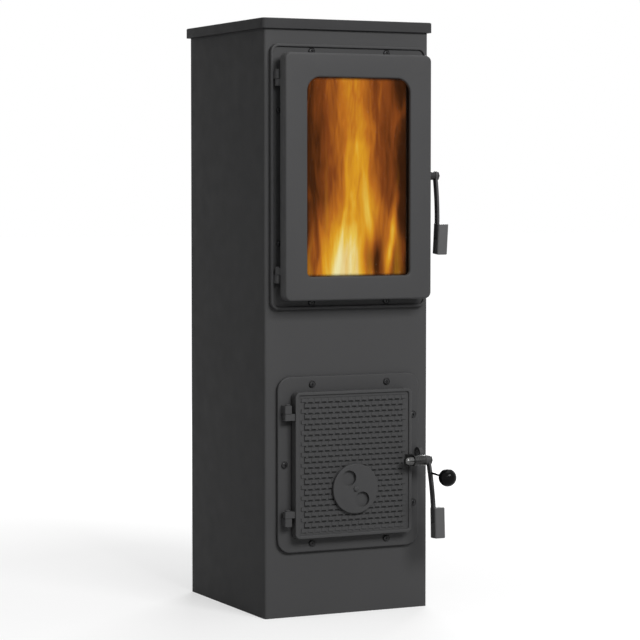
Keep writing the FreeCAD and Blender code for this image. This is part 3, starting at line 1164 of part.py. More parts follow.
def ash_latch():
    """Bolt in a barrel on the door: claw and lever at its right end, and a ball on a rod."""
    y, z = ASH_LATCH_Y, ASH_LATCH_Z
    bearing = Piece("ash_latch_bearing")
    disc(bearing, BARREL_LEFT, y, z, "dims.barrel_radius", f"{BARREL_RIGHT} - {BARREL_LEFT}")
    web = bearing.sketch("XY_Plane", f"{z} - dims.barrel_web / 2")
    rectangle(web, BARREL_LEFT, y, ASH_EDGE, front(ASH_RIM))
    bearing.pad(web, "dims.barrel_web")
    foot = bearing.sketch("XZ_Plane", off(ASH_RIM))
    rounded(foot, f"{ASH_EDGE} - dims.foot_wide / 2", z, "dims.foot_wide", "dims.foot_tall",
            "dims.foot_thick / 2")
    bearing.pad(foot, "dims.foot_thick")
    through(bearing, BARREL_LEFT, y, z, "dims.latch_shaft + dims.pin_room", f"{BARREL_RIGHT} - {BARREL_LEFT}")
    nut_left = f"({ASH_LEVER_LEFT} + dims.lever_thick + dims.shaft_fit)"
    shaft_end = f"{nut_left} + dims.nut_thick + dims.shaft_end"
    cap_right = f"({BARREL_LEFT} - dims.washer)"
    bolt = Piece("ash_latch_bolt")
    disc(bolt, f"{cap_right} - dims.cap_long", y, z, "dims.cap_radius", "dims.cap_long")
    end = num(f"{cap_right} - dims.cap_long")
    bolt.round_edges(f"{CAP_ROUND} * dims.cap_radius", lambda edge: abs(edge.BoundBox.XMax - end) < 1e-4)
    disc(bolt, cap_right, y, z, "dims.latch_shaft", f"{shaft_end} - {cap_right}")
    claw = Piece("ash_latch_claw")
    disc(claw, CLAW_LEFT, y, z, "dims.claw_boss", "dims.claw_thick")
    back = f"{y} + dims.claw_reach"
    hook = claw.sketch("YZ_Plane", CLAW_LEFT)
    polygon(hook, [
        (y, f"{z} + dims.claw_arm_top"),
        (y, f"{z} - dims.claw_boss"),
        (back, f"{z} + dims.claw_arm_top - dims.claw_arm"),
        (back, f"{z} + dims.claw_top"),
        (f"{back} - dims.claw_tooth", f"{z} + dims.claw_top"),
        (f"{back} - dims.claw_tooth", f"{z} + dims.claw_arm_top"),
    ])
    claw.pad(hook, "dims.claw_thick")
    through(claw, CLAW_LEFT, y, z, "dims.latch_shaft + dims.shaft_fit", "dims.claw_thick")
    lever("ash_latch_lever", ASH_LEVER_LEFT, y, z, "ash_latch_hang")
    grip("ash_latch_grip", ASH_LEVER_LEFT, y, z, "ash_latch_hang")
    nut("ash_latch_nut", nut_left, y, z, "dims.nut_flats", "dims.nut_thick", "dims.latch_shaft")
    middle = f"{ASH_LEVER_LEFT} + dims.lever_thick / 2"
    from_middle = "(dims.lever_half - dims.rod_along)"
    edge = f"(sqrt({BOW} ^ 2 - {from_middle} ^ 2) - {BOW} + dims.lever_bulge + dims.lever_wide / 2)"
    hang = "dims.ash_latch_hang"
    slope = f"dims.rod_radius * tan({hang} * 1 deg + asin({from_middle} / {BOW})) + dims.shaft_fit"
    start = (
        middle,
        f"{y} - dims.rod_along * sin({hang}) - {edge} * cos({hang}) - ({slope})",
        f"{z} - dims.rod_along * cos({hang}) + {edge} * sin({hang})",
        "dims.rod_dip * 1 deg",
    )
    rod = Piece("ball_rod")
    section = rod.sketch("XZ_Plane")
    circle(section, "0", "0", "dims.rod_radius")
    rod.pad(section, "dims.rod_long + dims.rod_in_ball")
    rod.place(*start)
    ball = Piece("ball_knob")
    neck = "(dims.rod_long)"
    half = ball.sketch("XY_Plane")
    centre = f"{neck} + sqrt(dims.ball_radius ^ 2 - dims.ball_flat ^ 2)"
    ball_outline(half, f"-({centre})", f"-{neck}")
    ball.turn(half, (half, ["V_Axis"]))
    socket = ball.sketch("XZ_Plane", neck)
    circle(socket, "0", "0", "dims.rod_radius + dims.shaft_fit")
    ball.pocket(socket, "dims.rod_in_ball", reverse=True)
    ball.place(*start)


def ball_outline(sketch, centre, flat):
    """Half section of a ball with a flat at its neck, to be turned about the vertical axis."""
    radius = num("dims.ball_radius")
    middle = FreeCAD.Vector(0, num(centre), 0)
    rim = FreeCAD.Vector(num("dims.ball_flat"), num(flat), 0)
    pole = FreeCAD.Vector(0, num(f"{centre} - dims.ball_radius"), 0)
    side = FreeCAD.Vector(radius, num(centre), 0)
    sketch.addGeometry(Part.Arc(pole, side, rim), False)
    sketch.addGeometry(Part.LineSegment(rim, FreeCAD.Vector(0, num(flat), 0)), False)
    sketch.addGeometry(Part.LineSegment(FreeCAD.Vector(0, num(flat), 0), pole), False)
    sketch.addConstraint(Sketcher.Constraint("Coincident", 0, 2, 1, 1))
    sketch.addConstraint(Sketcher.Constraint("Coincident", 1, 2, 2, 1))
    sketch.addConstraint(Sketcher.Constraint("Coincident", 2, 2, 0, 1))
    locate(sketch, 0, 3, "0", centre)
    locate(sketch, 1, 1, "dims.ball_flat", flat)
    locate(sketch, 1, 2, "0", flat)
    sketch.addConstraint(Sketcher.Constraint("PointOnObject", 0, 1, -2))


def ash_keeper():
    """Arched claw on the frame's right margin, its nose just above the latch claw's tooth."""
    piece = Piece("ash_keeper")
    y, z = ASH_LATCH_Y, f"({ASH_LATCH_Z} + dims.claw_top + dims.keeper_room)"
    centre = f"({y} + dims.arch_centre)"
    face = front(ASH_FACE)
    start = f"({CLAW_LEFT} + dims.claw_thick / 2 + dims.arch_aside - dims.arch_wide / 2)"
    disc(piece, start, centre, z, "dims.arch_outer", "dims.arch_wide")
    inner = piece.sketch("YZ_Plane", start)
    circle(inner, centre, z, "dims.arch_inner")
    piece.pocket(inner, "dims.arch_wide", reverse=True)
    under = piece.sketch("YZ_Plane", start)
    rectangle(under, f"{centre} - dims.arch_outer - {PAST}", f"{z} - dims.arch_outer - {PAST}",
              f"{centre} + dims.arch_outer + {PAST}", z)
    piece.pocket(under, "dims.arch_wide", reverse=True)
    behind = piece.sketch("YZ_Plane", start)
    rectangle(behind, face, f"{z} - {PAST}", f"{face} + 2 * dims.arch_outer",
              f"{z} + dims.arch_outer + {PAST}")
    piece.pocket(behind, "dims.arch_wide", reverse=True)
    leg = piece.sketch("YZ_Plane", start)
    rectangle(leg, f"{face} - dims.arch_leg", f"{z} - dims.arch_leg_drop", face, f"{z} + dims.arch_inner")
    piece.pad(leg, "dims.arch_wide")


# Inside

SHELF_TOP = f"({FIRE_CENTRE} - {FIRE_FRAME_TALL} / 2 - dims.shelf_drop)"
LINER_TALL = f"({FIRE_FRAME_TALL} - dims.liner_short)"
ASH_SHELF_TOP = "(dims.ash_frame_low + dims.ash_shelf_rise)"
PAN_WIDE = "(dims.ash_door_wide - 2 * dims.ash_seal_inset - dims.ash_collar_wall - 2 * dims.pan_side)"
PAN_DEEP = "(dims.body_depth - dims.pan_short)"
PAN_BACK = "(dims.body_depth / 2 - 2 * dims.sheet - dims.pan_clear)"


def shelf_rails(label, underside):
    """Two angles welded to the side walls, their flats under a shelf."""
    wall = f"({INNER_WIDE} / 2 - dims.fit_gap)"
    blank = Piece(label + "_blank", kept=False)
    outline = blank.sketch("XZ_Plane", f"-{PANEL_FRONT} + dims.rail_leg")
    polygon(outline, [
        (wall, f"{underside} - dims.rail_leg"),
        (wall, underside),
        (f"{wall} - dims.rail_leg", underside),
        (f"{wall} - dims.rail_leg", f"{underside} - dims.rail_thick"),
        (f"{wall} - dims.rail_thick", f"{underside} - dims.rail_thick"),
        (f"{wall} - dims.rail_thick", f"{underside} - dims.rail_leg"),
    ])
    blank.pad(outline, f"{INNER_DEEP} - 2 * dims.rail_leg")
    across = FreeCAD.Rotation(FreeCAD.Vector(0, 0, 1), 180)
    shift = num(f"{PANEL_FRONT} - {INNER_DEEP} / 2")
    group(label, blank, [((0, 0, 0), UPRIGHT), ((0, 2 * shift, 0), across)])


def shelf(label, top, thick, hole=None):
    """A plate from wall to wall, carried on its rails."""
    piece = Piece(label)
    half = f"({INNER_WIDE} / 2 - dims.fit_gap)"
    low, high = f"-{INNER_DEEP} / 2 + dims.fit_gap", f"{PANEL_FRONT} - dims.fit_gap"
    outline = piece.sketch("XY_Plane", f"{top} - {thick}")
    middle = f"({high} + ({low})) / 2"
    rounded(outline, "0", middle, f"2 * {half}", f"{high} - ({low})", INNER_BEND)
    if hole:
        wide, deep = hole
        rectangle(outline, f"-{wide} / 2", f"-{deep} / 2", f"{wide} / 2", f"{deep} / 2")
    piece.pad(outline, thick)


def grate():
    """Cast grate that hangs in the shelf's hole by its flange."""
    piece = Piece("grate")
    wide, deep = "dims.grate_hole_wide", "dims.grate_hole_deep"
    lap, fit = "2 * dims.grate_lap", "2 * dims.grate_fit"
    flange = piece.sketch("XY_Plane", SHELF_TOP)
    rounded(flange, "0", "0", f"{wide} + {lap}", f"{deep} + {lap}", "dims.grate_lap / 2")
    piece.pad(flange, "dims.grate_flange")
    body = piece.sketch("XY_Plane", SHELF_TOP)
    rectangle(body, f"-({wide} - {fit}) / 2", f"-({deep} - {fit}) / 2", f"({wide} - {fit}) / 2",
              f"({deep} - {fit}) / 2")
    piece.pad(body, "dims.grate_drop", reverse=True)
    slots = piece.sketch("XY_Plane", f"{SHELF_TOP} + dims.grate_flange")
    count = int(num("dims.grate_slots"))
    for i in range(count):
        rounded(slots, f"({i} - {(count - 1) / 2}) * dims.grate_pitch", "0", "dims.grate_slot",
                "dims.grate_slot_long", f"{SLOT_ROUND} * dims.grate_slot")
    piece.pocket(slots, "dims.grate_flange + dims.grate_drop")


def block(label, left, low_y, low_z, wide, deep, tall):
    """A plain fire brick."""
    piece = Piece(label)
    outline = piece.sketch("XY_Plane", low_z)
    rectangle(outline, left, low_y, f"{left} + {wide}", f"{low_y} + {deep}")
    piece.pad(outline, tall)


def fire_bricks():
    wall = f"({INNER_WIDE} / 2 - dims.liner_gap)"
    back = f"({PANEL_FRONT} - dims.liner_gap)"
    start = f"(-{INNER_DEEP} / 2 + dims.liner_front)"
    brick = "dims.liner_thick"
    side_deep = f"{back} - {start}"
    block("liner_left", f"-{wall}", start, SHELF_TOP, brick, side_deep, LINER_TALL)
    block("liner_right", f"{wall} - {brick}", start, SHELF_TOP, brick, side_deep, LINER_TALL)
    inner = f"({wall} - {brick} - dims.liner_gap)"
    block("liner_back", f"-{inner}", f"{back} - {brick}", SHELF_TOP, f"2 * {inner}", brick, LINER_TALL)
    smoke = f"(-{INNER_DEEP} / 2 + dims.baffle_gap)"
    block("baffle_plate", f"-{wall}", smoke, f"{SHELF_TOP} + {LINER_TALL}", f"2 * {wall}",
          f"{back} - {smoke}", "dims.baffle_thick")


def flue_spigot():
    """Round spigot with a flange on the back panel."""
    piece = Piece("flue_spigot")
    seat = f"-{PANEL_FRONT} - dims.sheet"
    flange = piece.sketch("XZ_Plane", seat)
    circle(flange, "0", FLUE_HEIGHT, "dims.flange_radius")
    piece.pad(flange, "dims.flange_thick", reverse=True)
    tube = piece.sketch("XZ_Plane", seat)
    circle(tube, "0", FLUE_HEIGHT, "dims.flue_radius")
    piece.pad(tube, "dims.flange_thick + dims.flue_long", reverse=True)
    inlet = piece.sketch("XZ_Plane", f"-{PANEL_FRONT}")
    circle(inlet, "0", FLUE_HEIGHT, "dims.flue_radius")
    piece.pad(inlet, "dims.sheet", reverse=True)
    way = piece.sketch("XZ_Plane", f"-{PANEL_FRONT}")
    circle(way, "0", FLUE_HEIGHT, "dims.flue_radius - dims.flue_wall")
    piece.pocket(way, "dims.sheet + dims.flange_thick + dims.flue_long")
    drill(piece, flue_screw_places(), "dims.small_hole", seat, "dims.flange_thick")


def small_screws():
    blank = button_screw("small_screw_blank", "dims.small_screw", "dims.small_head", "dims.small_rise",
                         "2 * dims.sheet", socket=False)
    for label, places, seat in (
        ("back_panel_screws", panel_screw_places(), "dims.body_depth / 2"),
        ("flue_screws", flue_screw_places(), f"{PANEL_FRONT} + dims.sheet + dims.flange_thick"),
    ):
        group(label, blank, [((num(x), num(seat), num(z)), FACING_BACK) for x, z in places])


def ash_pan():
    """Sheet pan with a bent rod handle at its front."""
    piece = Piece("ash_pan")
    floor = f"({ASH_SHELF_TOP} + dims.pan_gap)"
    middle = f"({PAN_BACK} - {PAN_DEEP} / 2)"
    outline = piece.sketch("XY_Plane", floor)
    rounded(outline, "0", middle, PAN_WIDE, PAN_DEEP, "dims.pan_corner")
    piece.pad(outline, "dims.pan_tall")
    hollow = piece.sketch("XY_Plane", f"{floor} + dims.pan_wall")
    wall = "2 * dims.pan_wall"
    rounded(hollow, "0", middle, f"{PAN_WIDE} - {wall}", f"{PAN_DEEP} - {wall}",
            "dims.pan_corner - dims.pan_wall")
    piece.pocket(hollow, "dims.pan_tall", reverse=True)
    handle = Piece("ash_pan_handle")
    height = f"({floor} + dims.pan_tall - dims.pan_handle_down)"
    face = f"({PAN_BACK} - {PAN_DEEP})"
    reach = f"{face} - dims.pan_handle_out"
    rod = "dims.pan_handle"
    legs = handle.sketch("XZ_Plane", f"-{face}")
    for side in (-1, 1):
        circle(legs, f"{side} * dims.pan_handle_wide / 2", height, rod)
    handle.pad(legs, "dims.pan_handle_out")
    bar = handle.sketch("YZ_Plane", f"-dims.pan_handle_wide / 2 - {rod}")
    circle(bar, reach, height, rod)
    handle.pad(bar, f"dims.pan_handle_wide + 2 * {rod}")


casing()
back_panel()
base_plate()
top_plate()
frame_gasket("fire_frame_gasket", FIRE_CENTRE, FIRE_FRAME_WIDE, FIRE_FRAME_TALL, "dims.fire_frame_corner",
             FIRE_MOUTH_WIDE, FIRE_MOUTH_TALL, FIRE_MOUTH_CORNER, fire_screw_places())
frame_gasket("ash_frame_gasket", ASH_CENTRE, ASH_FRAME_WIDE, ASH_FRAME_TALL, "dims.ash_frame_corner",
             ASH_MOUTH_WIDE, ASH_MOUTH_TALL, ASH_MOUTH_CORNER, ash_screw_places())
fire_frame()
ash_frame()
frame_screws()
hinge_pins("fire_hinge_pins", *FIRE_HINGES, f"-{FIRE_HINGE_X}", "dims.fire_hinge_off")
hinge_pins("ash_hinge_pins", *ASH_HINGES, f"-{ASH_HINGE_X}", "dims.ash_hinge_off")
fire_door()
glass_pieces()
fire_rope()
fire_latch()
fire_keeper()
ash_door()
ash_rope()
air_rosette()
ash_latch()
ash_keeper()
shelf("grate_shelf", SHELF_TOP, "dims.shelf_thick", ("dims.grate_hole_wide", "dims.grate_hole_deep"))
shelf_rails("grate_shelf_rails", f"({SHELF_TOP} - dims.shelf_thick)")
grate()
fire_bricks()
flue_spigot()
small_screws()
shelf("ash_shelf", ASH_SHELF_TOP, "dims.ash_shelf_thick")
shelf_rails("ash_shelf_rails", f"({ASH_SHELF_TOP} - dims.ash_shelf_thick)")
ash_pan()

doc.recompute()
for item in doc.Objects:
    if "Invalid" in item.State or "Error" in item.State:
        raise ValueError(f"{item.Label} did not build: {item.State}")
for node in NODES:
    if node.Shape.isNull() or not node.Shape.isValid():
        raise ValueError(f"{node.Label} has no valid shape")

os.makedirs("parts", exist_ok=True)
for node in NODES:
    node.Shape.exportStep(f"parts/{node.Label}.step")
    print(f"{node.Label}: {len(node.Shape.Solids)} solids, {node.Shape.Volume / 1000:.1f} cm3")
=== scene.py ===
"""Workshop stove: a tall folded steel casing, a glazed fire door above and a cast ash door below."""
import json
import math

import bmesh
import bpy
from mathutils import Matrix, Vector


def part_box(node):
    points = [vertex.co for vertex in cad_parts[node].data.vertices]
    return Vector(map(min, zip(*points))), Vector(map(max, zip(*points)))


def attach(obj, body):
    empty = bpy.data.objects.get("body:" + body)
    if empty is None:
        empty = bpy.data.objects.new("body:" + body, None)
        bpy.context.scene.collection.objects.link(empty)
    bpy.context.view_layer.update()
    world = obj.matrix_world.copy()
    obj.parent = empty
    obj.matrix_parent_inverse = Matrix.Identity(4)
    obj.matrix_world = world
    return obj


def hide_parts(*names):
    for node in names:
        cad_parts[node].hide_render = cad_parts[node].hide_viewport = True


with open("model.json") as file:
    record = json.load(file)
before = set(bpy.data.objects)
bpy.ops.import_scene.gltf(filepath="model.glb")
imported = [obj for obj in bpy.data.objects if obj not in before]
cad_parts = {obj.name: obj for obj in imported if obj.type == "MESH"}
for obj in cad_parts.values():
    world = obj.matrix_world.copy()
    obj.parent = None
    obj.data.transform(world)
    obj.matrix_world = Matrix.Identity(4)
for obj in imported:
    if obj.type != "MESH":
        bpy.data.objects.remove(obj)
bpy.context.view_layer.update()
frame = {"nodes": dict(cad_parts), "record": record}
record = frame["record"]

# The casing is one folded sheet with returns at the back, closed by a screwed panel and a floor plate.
# Its heat-proof spray paint is a satin dark grey with a fine dry grain, a little uneven in tone and gloss.
CARRIER = {node: body for body, nodes in record["behaviour"]["bodies"].items() for node in nodes}
FINISH = {row["node"]: row["material_slot"] for row in record["subparts"]}
SAME_POINT = 2e-6
FLAT_ANGLE = math.radians(0.4)
SMOOTH_ANGLE = math.radians(32)
CORNER_ANGLE = math.radians(50)
PAINT_BLUE = 0.001


def finished(node, material, edge=0.0):
    """Replaces a CAD piece by a welded, smooth copy with, if asked, a small round on its edges."""
    mesh = frame["nodes"][node].data.copy()
    mesh.name = node + "_skin"
    work = bmesh.new()
    work.from_mesh(mesh)
    bmesh.ops.remove_doubles(work, verts=work.verts, dist=SAME_POINT)
    bmesh.ops.dissolve_limit(work, angle_limit=FLAT_ANGLE, verts=work.verts, edges=work.edges)
    for face in work.faces:
        face.smooth = True
    for line in work.edges:
        line.smooth = line.is_manifold and line.calc_face_angle(0) < SMOOTH_ANGLE
    work.to_mesh(mesh)
    work.free()
    mesh.materials.clear()
    mesh.materials.append(material)
    piece = bpy.data.objects.new(node + "_finished", mesh)
    bpy.context.scene.collection.objects.link(piece)
    if edge:
        rounding = piece.modifiers.new("edge", "BEVEL")
        rounding.width = edge
        rounding.segments = 2
        rounding.limit_method = "ANGLE"
        rounding.angle_limit = CORNER_ANGLE
        rounding.harden_normals = True
    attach(piece, CARRIER[node])
    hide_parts(node)


def shader(name):
    """A new material, its tree and its principled shader."""
    material = bpy.data.materials.new(name)
    material.use_nodes = True
    tree = material.node_tree
    return material, tree, tree.nodes["Principled BSDF"]


def plug(tree, node, links):
    """Feeds a node's inputs; links are (input, source socket or value)."""
    for key, value in links:
        if isinstance(value, bpy.types.NodeSocket):
            tree.links.new(value, node.inputs[key])
        else:
            node.inputs[key].default_value = value


def add(tree, kind, links=(), **settings):
    """A new node with its settings made and its inputs fed."""
    node = tree.nodes.new(kind)
    for key, value in settings.items():
        setattr(node, key, value)
    plug(tree, node, links)
    return node


def chain(tree, operation, *values):
    """One operation over several values, from left to right."""
    total = values[0]
    for value in values[1:]:
        total = add(tree, "ShaderNodeMath", [(0, total), (1, value)], operation=operation).outputs[0]
    return total


def plus(tree, *values):
    """The sum of several values."""
    return chain(tree, "ADD", *values)


def own_place(tree):
    """A point's place in the piece's own coordinates."""
    return add(tree, "ShaderNodeTexCoord").outputs["Object"]


def grain(tree, per_metre, detail=2.0, rough=0.5, stretch=(1, 1, 1), twist=0.0):
    """Noise on the piece's own coordinates, with about so many marks to the metre."""
    shaped = add(tree, "ShaderNodeMapping", [("Vector", own_place(tree)), ("Scale", stretch)])
    return add(tree, "ShaderNodeTexNoise", [
        ("Vector", shaped.outputs["Vector"]), ("Scale", per_metre), ("Detail", detail), ("Roughness", rough),
        ("Distortion", twist)]).outputs["Fac"]


def between(tree, factor, low, high, start=0.3, stop=0.7):
    """A value that runs from low to high as the factor runs from start to stop."""
    return add(tree, "ShaderNodeMapRange", [
        ("Value", factor), ("From Min", start), ("From Max", stop), ("To Min", low),
        ("To Max", high)]).outputs["Result"]


def tinted(tree, factor, dark, light):
    """A colour between two, by a factor; each is a source socket or three numbers."""
    dark, light = [
        colour if isinstance(colour, bpy.types.NodeSocket) else (*colour, 1) for colour in (dark, light)]
    links = [("Factor", factor), ("A", dark), ("B", light)]
    return add(tree, "ShaderNodeMix", links, data_type="RGBA").outputs["Result"]


def raised(tree, surface, height, strength, depth):
    """Bump on a shader from a height."""
    links = [("Height", height), ("Strength", strength), ("Distance", depth)]
    plug(tree, surface, [("Normal", add(tree, "ShaderNodeBump", links).outputs["Normal"])])


def stove_paint(name, tones, roughness, grit, depth, sheen):
    """Heat-proof paint, uneven in tone and gloss, with so many grains of grit to the metre."""
    material, tree, surface = shader(name)
    cloud = between(tree, grain(tree, 3.2, 3), 0.1, 0.5)
    speck = between(tree, grain(tree, 1400, 2, 0.7), 0, 0.4)
    rubbed = between(tree, grain(tree, 38, 4), *roughness)
    dusty = between(tree, grain(tree, 1100, 2), -0.05, 0.05)
    dark, light = [(tone, tone, tone + PAINT_BLUE) for tone in tones]
    plug(tree, surface, [
        ("Base Color", tinted(tree, plus(tree, cloud, speck), dark, light)),
        ("Roughness", plus(tree, rubbed, dusty)),
        ("Specular IOR Level", sheen),
    ])
    raised(tree, surface, grain(tree, grit, 3, 0.6), 0.35, depth)
    return material


sheet_paint = stove_paint("satin_sheet_paint", (0.060, 0.069), (0.5, 0.6), 900, 0.0001, 0.03)
for node in ("casing", "back_panel", "base_plate", "back_panel_screws"):
    finished(node, sheet_paint)

# The lid is a folded plate that drops over the casing; its paint is darker than the casing's, as painted
# shade for the lesser light on the lid.
# Its top edge is pressed round, so it takes the light in a thin line.
# Painted shade: the casing's satin paint, made darker for the lid.
shaded_lid_paint = stove_paint("satin_lid_paint_painted_shade", (0.036, 0.042), (0.5, 0.6), 900, 0.0001, 0.05)
finished("top_plate", shaded_lid_paint)

# The flue spigot is a rolled tube with a flange, held to the back panel by four screws.
# It is sprayed with the casing.
for node in ("flue_spigot", "flue_screws"):
    finished(node, sheet_paint)

# Inside, two angle rails carry the grate shelf and two more the ash shelf.
# All are bare black mill sheet with blue-grey scale, welded to the walls.
MILL_EDGE = 0.0003
mill_sheet, tree, surface = shader("black_mill_sheet")
scale_marks = between(tree, grain(tree, 14, 6, 0.6), 0, 1)
plug(tree, surface, [
    ("Base Color", tinted(tree, scale_marks, (0.018, 0.018, 0.02), (0.05, 0.047, 0.045))),
    ("Roughness", between(tree, grain(tree, 40, 4), 0.45, 0.7)),
    ("Metallic", 0.5),
])
raised(tree, surface, grain(tree, 220, 4, 0.6), 0.3, 0.0003)
for node in ("grate_shelf_rails", "grate_shelf", "ash_shelf_rails", "ash_shelf"):
    finished(node, mill_sheet, MILL_EDGE)

# The grate is a loose sand casting that hangs in the shelf's hole by its flange.
# It is bare iron, dusted with pale ash.
GRATE_EDGE = 0.0008
raw_casting, tree, surface = shader("ashy_raw_casting")
dust = between(tree, grain(tree, 45, 6, 0.65), 0, 1, 0.42, 0.68)
plug(tree, surface, [
    ("Base Color", tinted(tree, dust, (0.022, 0.02, 0.019), (0.2, 0.19, 0.18))),
    ("Roughness", 0.85),
])
raised(tree, surface, grain(tree, 500, 4, 0.7), 0.6, 0.0006)
finished("grate", raw_casting, GRATE_EDGE)

# Fire bricks line the sides and back, and one lies across the top as the baffle.
# They are pressed board speckled with mica flakes, smoked darker towards the top.
BRICK_EDGE = 0.0012
SMOKED_FROM, SMOKED_TO = 0.5, 0.84


def own_axes(tree):
    """A point's X, Y and Z in the piece's own coordinates."""
    return add(tree, "ShaderNodeSeparateXYZ", [("Vector", own_place(tree))]).outputs


def flakes(tree, per_metre, channel):
    """A value that is the same all over each cell of an uneven pattern."""
    cells = add(tree, "ShaderNodeTexVoronoi", [("Vector", own_place(tree)), ("Scale", per_metre)])
    return add(tree, "ShaderNodeSeparateColor", [("Color", cells.outputs["Color"])]).outputs[channel]


def capped(tree, first, second):
    """The sum of two values, kept between 0 and 1."""
    links = [(0, first), (1, second)]
    return add(tree, "ShaderNodeMath", links, operation="ADD", use_clamp=True).outputs[0]


fire_board, tree, surface = shader("smoked_fire_board")
board = tinted(tree, flakes(tree, 320, "Red"), (0.30, 0.22, 0.14), (0.46, 0.36, 0.25))
rising = between(tree, own_axes(tree)["Z"], 0.0, 0.75, SMOKED_FROM, SMOKED_TO)
smoke = capped(tree, rising, between(tree, grain(tree, 11, 5), -0.2, 0.25))
plug(tree, surface, [
    ("Base Color", tinted(tree, smoke, board, (0.02, 0.018, 0.016))),
    ("Roughness", 0.92),
])
raised(tree, surface, grain(tree, 300, 4, 0.7), 0.6, 0.0008)
for node in ("liner_left", "liner_right", "liner_back", "baffle_plate"):
    finished(node, fire_board, BRICK_EDGE)

# The fire stands on the grate: a bed of broken charcoal that glows from below.
# Each lump is a crushed ball, scattered at random over the shelf between the bricks.
grate_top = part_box("grate")[1][2]
brick_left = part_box("liner_left")[1][0]
brick_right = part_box("liner_right")[0][0]
brick_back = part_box("liner_back")[0][1]
brick_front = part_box("liner_left")[0][1]
BED_WIDE, BED_DEEP = 0.21, 0.2
BED_FORWARD = 0.01
BED_LIFT = 0.006
EMBER_SMALL, EMBER_LARGE = 0.006, 0.015
EMBER_COUNT = 260
EMBER_SEED = 7
DENTS_PER_METRE = 110.0
DENT_DEPTH = 0.022


def minus(tree, value, less):
    """The difference of two values."""
    return chain(tree, "SUBTRACT", value, less)


def times(tree, *values):
    """The product of several values."""
    return chain(tree, "MULTIPLY", *values)


def over(tree, value, parts):
    """One value divided by another."""
    return chain(tree, "DIVIDE", value, parts)


def vectors(group, operation, first, second):
    """Two vectors put together by an operation, or a vector and a number by SCALE."""
    key = "Scale" if operation == "SCALE" else 1
    return add(group, "ShaderNodeVectorMath", [(0, first), (key, second)], operation=operation).outputs[0]


def moved(group, shape, offset):
    """A shape with each of its points pushed by an offset."""
    return add(group, "GeometryNodeSetPosition", [("Geometry", shape), ("Offset", offset)]).outputs[0]


def real(group, shape):
    """A shape with its instances turned into geometry."""
    return add(group, "GeometryNodeRealizeInstances", [("Geometry", shape)]).outputs[0]


def grower(name, **sizes):
    """A geometry tree with one named input for each size, its inputs and its output node."""
    group = bpy.data.node_groups.new(name, "GeometryNodeTree")
    group.interface.new_socket("Geometry", in_out="INPUT", socket_type="NodeSocketGeometry")
    for label, size in sizes.items():
        kind = "NodeSocketInt" if isinstance(size, int) else "NodeSocketFloat"
        group.interface.new_socket(label, in_out="INPUT", socket_type=kind)
    group.interface.new_socket("Geometry", in_out="OUTPUT", socket_type="NodeSocketGeometry")
    return group, add(group, "NodeGroupInput").outputs, add(group, "NodeGroupOutput")


def ended(group, end, shape, material, smooth=True):
    """Closes a tree: smooth faces unless they are to stay flat, real geometry, one material."""
    if smooth:
        shape = add(group, "GeometryNodeSetShadeSmooth", [("Geometry", shape)]).outputs[0]
    links = [("Geometry", real(group, shape)), ("Material", material)]
    plug(group, end, [(0, add(group, "GeometryNodeSetMaterial", links).outputs[0])])


def grown(name, group, start, body, slot, **sizes):
    """A piece made by a tree from a start mesh, turned into a plain mesh that rides on a body."""
    piece = bpy.data.objects.new(name, start)
    bpy.context.scene.collection.objects.link(piece)
    growth = piece.modifiers.new("growth", "NODES")
    growth.node_group = group
    for item in group.interface.items_tree:
        if item.item_type == "SOCKET" and item.in_out == "INPUT" and item.name in sizes:
            growth[item.identifier] = sizes[item.name]
    graph = bpy.context.evaluated_depsgraph_get()
    mesh = bpy.data.meshes.new_from_object(piece.evaluated_get(graph))
    piece.modifiers.remove(growth)
    mesh.name = name + "_mesh"
    piece.data = mesh
    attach(piece, body)
    return piece


charcoal, tree, surface = shader("glowing_charcoal")
crack = between(tree, grain(tree, 120, 5, 0.7), 0, 1, 0.5, 0.66)
plug(tree, surface, [
    ("Base Color", tinted(tree, grain(tree, 60, 3), (0.012, 0.011, 0.01), (0.11, 0.105, 0.1))),
    ("Emission Color", tinted(tree, crack, (0.01, 0.001, 0.0), (1.0, 0.22, 0.02))),
    ("Emission Strength", 1.2),
    ("Roughness", 0.95),
])
raised(tree, surface, grain(tree, 260, 4, 0.7), 0.6, 0.0008)

group, sizes, end = grower("ember_bed", Wide=1.0, Deep=1.0, Small=1.0, Large=1.0, Count=1, Seed=1)
ground = add(group, "GeometryNodeMeshGrid", [
    ("Size X", sizes["Wide"]), ("Size Y", sizes["Deep"])]).outputs["Mesh"]
density = over(group, sizes["Count"], times(group, sizes["Wide"], sizes["Deep"]))
spots = add(group, "GeometryNodeDistributePointsOnFaces", [
    ("Mesh", ground), ("Density", density), ("Seed", sizes["Seed"])]).outputs["Points"]
ball = add(group, "GeometryNodeMeshIcoSphere", [("Radius", 1.0), ("Subdivisions", 2)]).outputs["Mesh"]
turn = add(group, "FunctionNodeRandomValue", [
    ("Seed", sizes["Seed"]), (1, (math.tau, math.tau, math.tau))], data_type="FLOAT_VECTOR").outputs[0]
swell = add(group, "FunctionNodeRandomValue", [
    ("Seed", sizes["Seed"]), (2, sizes["Small"]), (3, sizes["Large"])], data_type="FLOAT").outputs[1]
lumps = add(group, "GeometryNodeInstanceOnPoints", [
    ("Points", spots), ("Instance", ball), ("Rotation", turn), ("Scale", swell)]).outputs[0]
spot = add(group, "GeometryNodeInputPosition").outputs[0]
dent = add(group, "ShaderNodeTexNoise", [
    ("Vector", spot), ("Scale", DENTS_PER_METRE), ("Detail", 2.0)]).outputs["Color"]
push = vectors(group, "SCALE", vectors(group, "SUBTRACT", dent, (0.5, 0.5, 0.5)), DENT_DEPTH)
bed_place = (0, (brick_front + brick_back) / 2 - BED_FORWARD, grate_top + BED_LIFT)
set_down = add(group, "GeometryNodeTransform", [
    ("Geometry", moved(group, real(group, lumps), push)), ("Translation", bed_place)]).outputs[0]
ended(group, end, set_down, charcoal)
